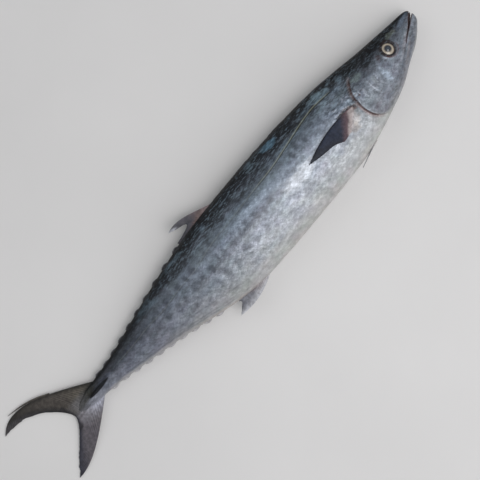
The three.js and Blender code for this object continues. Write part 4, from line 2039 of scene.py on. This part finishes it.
    def pectoral(self, flank: Flank) -> Piece:
        """A pectoral fin, dark with a fleshy peach root.

        Args:
            flank: the side of the fish.

        Returns:
            The finished piece.
        """
        side = flank.name.lower()
        return FlankBlade(
            f"pectoral_blade_{side}", f"pectoral_fin_{side}", "dark_fin",
            base=Path([(599, -23.5), (590, -34), (573, -46)]),
            margin=Path([(493, -31), (515, -36.5), (537, -40.5), (552, -48)]),
            tones=self.PECTORAL_TONES, rays=22, rows=40, bow_y=Profile([(0, 7), (1, 0)]),
            root_thickness=2.2 if flank is Flank.RIGHT else 1.1, edge_thickness=0.6, seed=19, flank=flank,
        ).build(self.dark_look)

    def pelvic(self, flank: Flank) -> Piece:
        """A small pelvic fin.

        Args:
            flank: the side of the fish.

        Returns:
            The finished piece.
        """
        side = flank.name.lower()
        return BellyBlade(
            f"pelvic_blade_{side}", f"pelvic_fin_{side}", "pale_fin",
            base=Path([(588, -84), (588, -80)]),
            margin=Path([(545, -92), (545, -90)]),
            tones=self.PELVIC_TONES, rays=6,
            root_thickness=1.4, edge_thickness=0.5, wave=0.0, seed=23, flank=flank,
        ).build(self.pale_look)

    def finlets(self) -> list[Piece]:
        """The two rows of finlets, above and below the tail stalk.

        Returns:
            The finished pieces.
        """
        made = []
        for i in range(self.FINLETS_A_ROW):
            upper, lower = 58.5 + 18 * i + 0.62 * i * i, 61 + 20.1 * i
            made.append(self._finlet(f"dorsal_finlet_{i + 1:02d}", upper, 1, i))
            made.append(self._finlet(f"anal_finlet_{i + 1:02d}", lower, -1, i))
        return made

    def _finlet(self, node: str, tip: float, side: int, index: int) -> Piece:
        """One finlet: a small ragged triangle whose point trails to the rear.

        Args:
            node: the frame's node.
            tip: place of its rear point.
            side: 1 on the back, -1 on the belly.
            index: its number, which varies it.

        Returns:
            The finished piece.
        """
        edge = OUTLINE.back if side > 0 else OUTLINE.belly
        base_x, margin_x = np.array([tip + 15, tip + 9, tip + 4]), np.array([tip + 14, tip + 9, tip + 4, tip])
        rise = np.array([0.7, 2.9, 3.0, 1.2]) * (1 + 0.1 * math.sin(5 * index))
        base_y, margin_y = edge(base_x) - side * 3, edge(margin_x) + side * rise
        return Blade(
            f"{node}_blade", node, "dark_fin" if side > 0 else "pale_fin",
            base=Path(list(zip(base_x, base_y))),
            margin=Path(list(zip(margin_x, margin_y))),
            tones=self.UPPER_FINLET_TONES if side > 0 else self.LOWER_FINLET_TONES, rays=5, rows=8,
            root_thickness=1.9, edge_thickness=0.6, fray=6, wave=0.3, seed=60 + index, ray_columns=5,
        ).build(self.dark_look if side > 0 else self.pale_look)


@dataclass
class FoldedDorsal:
    """The first dorsal fin, folded into its groove: overlapping spines with the membrane between them."""

    front: float = 602.0
    rear: float = 368.0
    spines: int = 15
    spine_length: float = 44.0
    spine_radius: float = 0.62
    sunk: float = 4.2
    height: float = 5.0
    half_width: float = 2.1

    def build(self, membrane: Look, spine_look: Look) -> Piece:
        """Models and dresses the folded fin.

        Args:
            membrane: finish of the folded skin.
            spine_look: finish of the spines.

        Returns:
            The finished piece.
        """
        fold = self._fold(membrane)
        first = self._spine(spine_look)
        copies = []
        for i in range(self.spines):
            copy = bpy.data.objects.new(f"spine_{i}", first.data.copy())
            bpy.context.scene.collection.objects.link(copy)
            self._lay(copy, i)
            copies.append(copy)
        bpy.data.objects.remove(first)
        join(fold, copies)
        settle(fold, "first_dorsal_fin")
        return fold

    def _fold(self, membrane: Look) -> Piece:
        """The membrane, a low crumpled ridge along the groove.

        Args:
            membrane: its finish.

        Returns:
            The membrane.
        """
        piece, u, v = new_grid("first_dorsal_blade", 240, 12)
        x = self.rear + (self.front - self.rear) * u
        turn = np.pi * v
        ends = np.sin(np.pi * np.clip(u, 0.01, 0.99)) ** 0.25
        crumple = Grain(41)(x, v * 20, 9, 9, 2)
        y = OUTLINE.back(x) - self.sunk + (self.height + 0.55 * crumple) * np.sin(turn) * ends
        z = OUTLINE.middle(x) - self.half_width * np.cos(turn) * ends + 0.35 * crumple
        move_corners(piece, DRAFT.metres(x, y, z))
        piece.data.uv_layers.active.name = "Rays"
        tone = tint(plain((34, 36, 42), len(x)), (70, 74, 80), ease(0.1, 0.6, crumple))
        paint_colours(piece, "tone", tone)
        piece.data.materials.append(membrane)
        turn_outwards(
            piece,
            lambda: bpy.ops.mesh.select_all(action="DESELECT"),
            lambda: bpy.ops.mesh.select_non_manifold(),
            lambda: bpy.ops.mesh.edge_face_add(),
            lambda: bpy.ops.mesh.select_all(action="SELECT"),
        )
        return piece

    def _spine(self, look: Look) -> Piece:
        """One tapering spine of length 1 along -x, modelled from a cone.

        Args:
            look: the piece's finish.

        Returns:
            The spine.
        """
        bpy.ops.object.select_all(action="DESELECT")
        taper = {"radius1": 1.0, "radius2": 0.16, "depth": 1.0}
        bpy.ops.mesh.primitive_cone_add(vertices=10, end_fill_type="TRIFAN", **taper)
        piece = bpy.context.active_object
        edit(piece, lambda: bpy.ops.mesh.subdivide(number_cuts=3))
        places = corners(piece)
        move_corners(piece, np.stack([-(places[:, 2] + 0.5), places[:, 0], places[:, 1]], axis=1))
        turn_outwards(piece)
        piece.data.materials.append(look)
        return piece

    def _lay(self, copy: Piece, index: int) -> None:
        """Lays a copied spine in its place along the groove.

        Args:
            copy: the copied spine.
            index: its number from the front.
        """
        share = index / (self.spines - 1)
        root = self.front - 4 - (self.front - self.rear - self.spine_length - 6) * share
        places = corners(copy)
        along = -places[:, 0]
        x = root - along * self.spine_length
        sway = 0.5 * math.sin(2.3 * index)
        y = OUTLINE.back(x) - 1.5 + 1.9 * along + self.spine_radius * places[:, 1]
        side = 0.9 if index % 2 else -0.9
        z = OUTLINE.middle(x) + sway + side + self.spine_radius * places[:, 2]
        move_corners(copy, DRAFT.metres(x, y, z))


# ---- Studio ----


@dataclass
class Studio:
    """Camera straight above the fish, a pale floor and soft lights."""

    aim: Spot = (349.8, -23.0, 36.0)
    view_width: float = 696.0
    lens: float = 85.0
    roll: float = -50.24

    def camera(self) -> None:
        """Looks straight down, rolled so that the fish lies from lower left to upper right."""
        data = bpy.data.cameras.new("camera")
        data.lens = self.lens
        spot = DRAFT.metres(*(np.array([value]) for value in self.aim))[0]
        away = self.view_width * MM * self.lens / data.sensor_width
        camera = bpy.data.objects.new("camera", data)
        camera.location = (spot[0], spot[1], spot[2] + away)
        camera.rotation_euler = (0, 0, math.radians(self.roll))
        bpy.context.scene.collection.objects.link(camera)
        bpy.context.scene.camera = camera

    def floor(self, groups: Groups) -> None:
        """A plain pale floor.

        Args:
            groups: the shared shader groups.
        """
        bpy.ops.object.select_all(action="DESELECT")
        bpy.ops.mesh.primitive_plane_add(size=12.0)
        slab = bpy.context.active_object
        slab.name = "floor"
        look = PlainFinish("pale_floor", (228, 228, 227), (233, 233, 232), 0.75, scale=3.0, bump=0.0)
        slab.data.materials.append(look.material(groups))

    def light(self, name: str, place: Spot, size: float, power: float, warmth: float) -> None:
        """Adds one soft square light aimed at the fish.

        Args:
            name: the light's name.
            place: where it hangs, in metres.
            size: its side, in metres.
            power: watts.
            warmth: from 0, cool, to 1, warm.
        """
        data = bpy.data.lights.new(name, "AREA")
        data.shape = "SQUARE"
        data.size = size
        data.energy = power
        data.color = (1.0, 0.98 - 0.03 * warmth, 1.0 - 0.1 * warmth)
        lamp = bpy.data.objects.new(name, data)
        lamp.location = place
        lamp.rotation_euler = (-Vector(place)).to_track_quat("-Z", "Y").to_euler()
        bpy.context.scene.collection.objects.link(lamp)

    def lights(self) -> None:
        """A large key from the belly side, a fill from the back and a pale surround."""
        self.light("key", (0.3, -0.5, 2.2), 1.35, 20.0, 0.2)
        self.light("belly", (0.5, -1.5, 1.3), 1.6, 9.0, 0.1)
        self.light("back", (-0.5, 1.4, 1.6), 1.6, 4.0, 0.0)
        world = bpy.data.worlds.new("surround")
        bpy.context.scene.world = world
        world.use_nodes = True
        back = world.node_tree.nodes["Background"]
        back.inputs["Color"].default_value = (0.86, 0.88, 0.9, 1.0)
        back.inputs["Strength"].default_value = 0.32
        bpy.context.scene.view_settings.view_transform = "Standard"


def main() -> None:
    """Builds the studio and the fish, piece by piece."""
    logging.basicConfig(level=logging.INFO, format="%(message)s")
    studio = Studio()
    studio.camera()
    groups = Groups()
    studio.floor(groups)
    studio.lights()
    skin = SkinFinish().material(groups)
    # Dark brown lining: painted shade inside the mouth and the eye sockets.
    mouth = PlainFinish("shaded_mouth_lining", (58, 34, 30), (32, 20, 19), 0.5, scale=260.0, coat=0.4)
    shaded_lining = mouth.material(groups)
    Body().build(skin, shaded_lining)
    Tongue().build(shaded_lining)
    eyeball = EyeFinish().material(groups)
    for flank in Flank:
        Eye(flank).build(eyeball)
    fins = Fins(groups)
    fins.caudal()
    fins.second_dorsal()
    fins.anal()
    for flank in Flank:
        fins.pectoral(flank)
        fins.pelvic(flank)
    fins.finlets()
    bone = PlainFinish("spines", (92, 90, 88), (140, 136, 130), 0.4, scale=300.0, coat=0.2)
    FoldedDorsal().build(fins.dark_look, bone.material(groups))


if __name__ == "__main__":
    main()
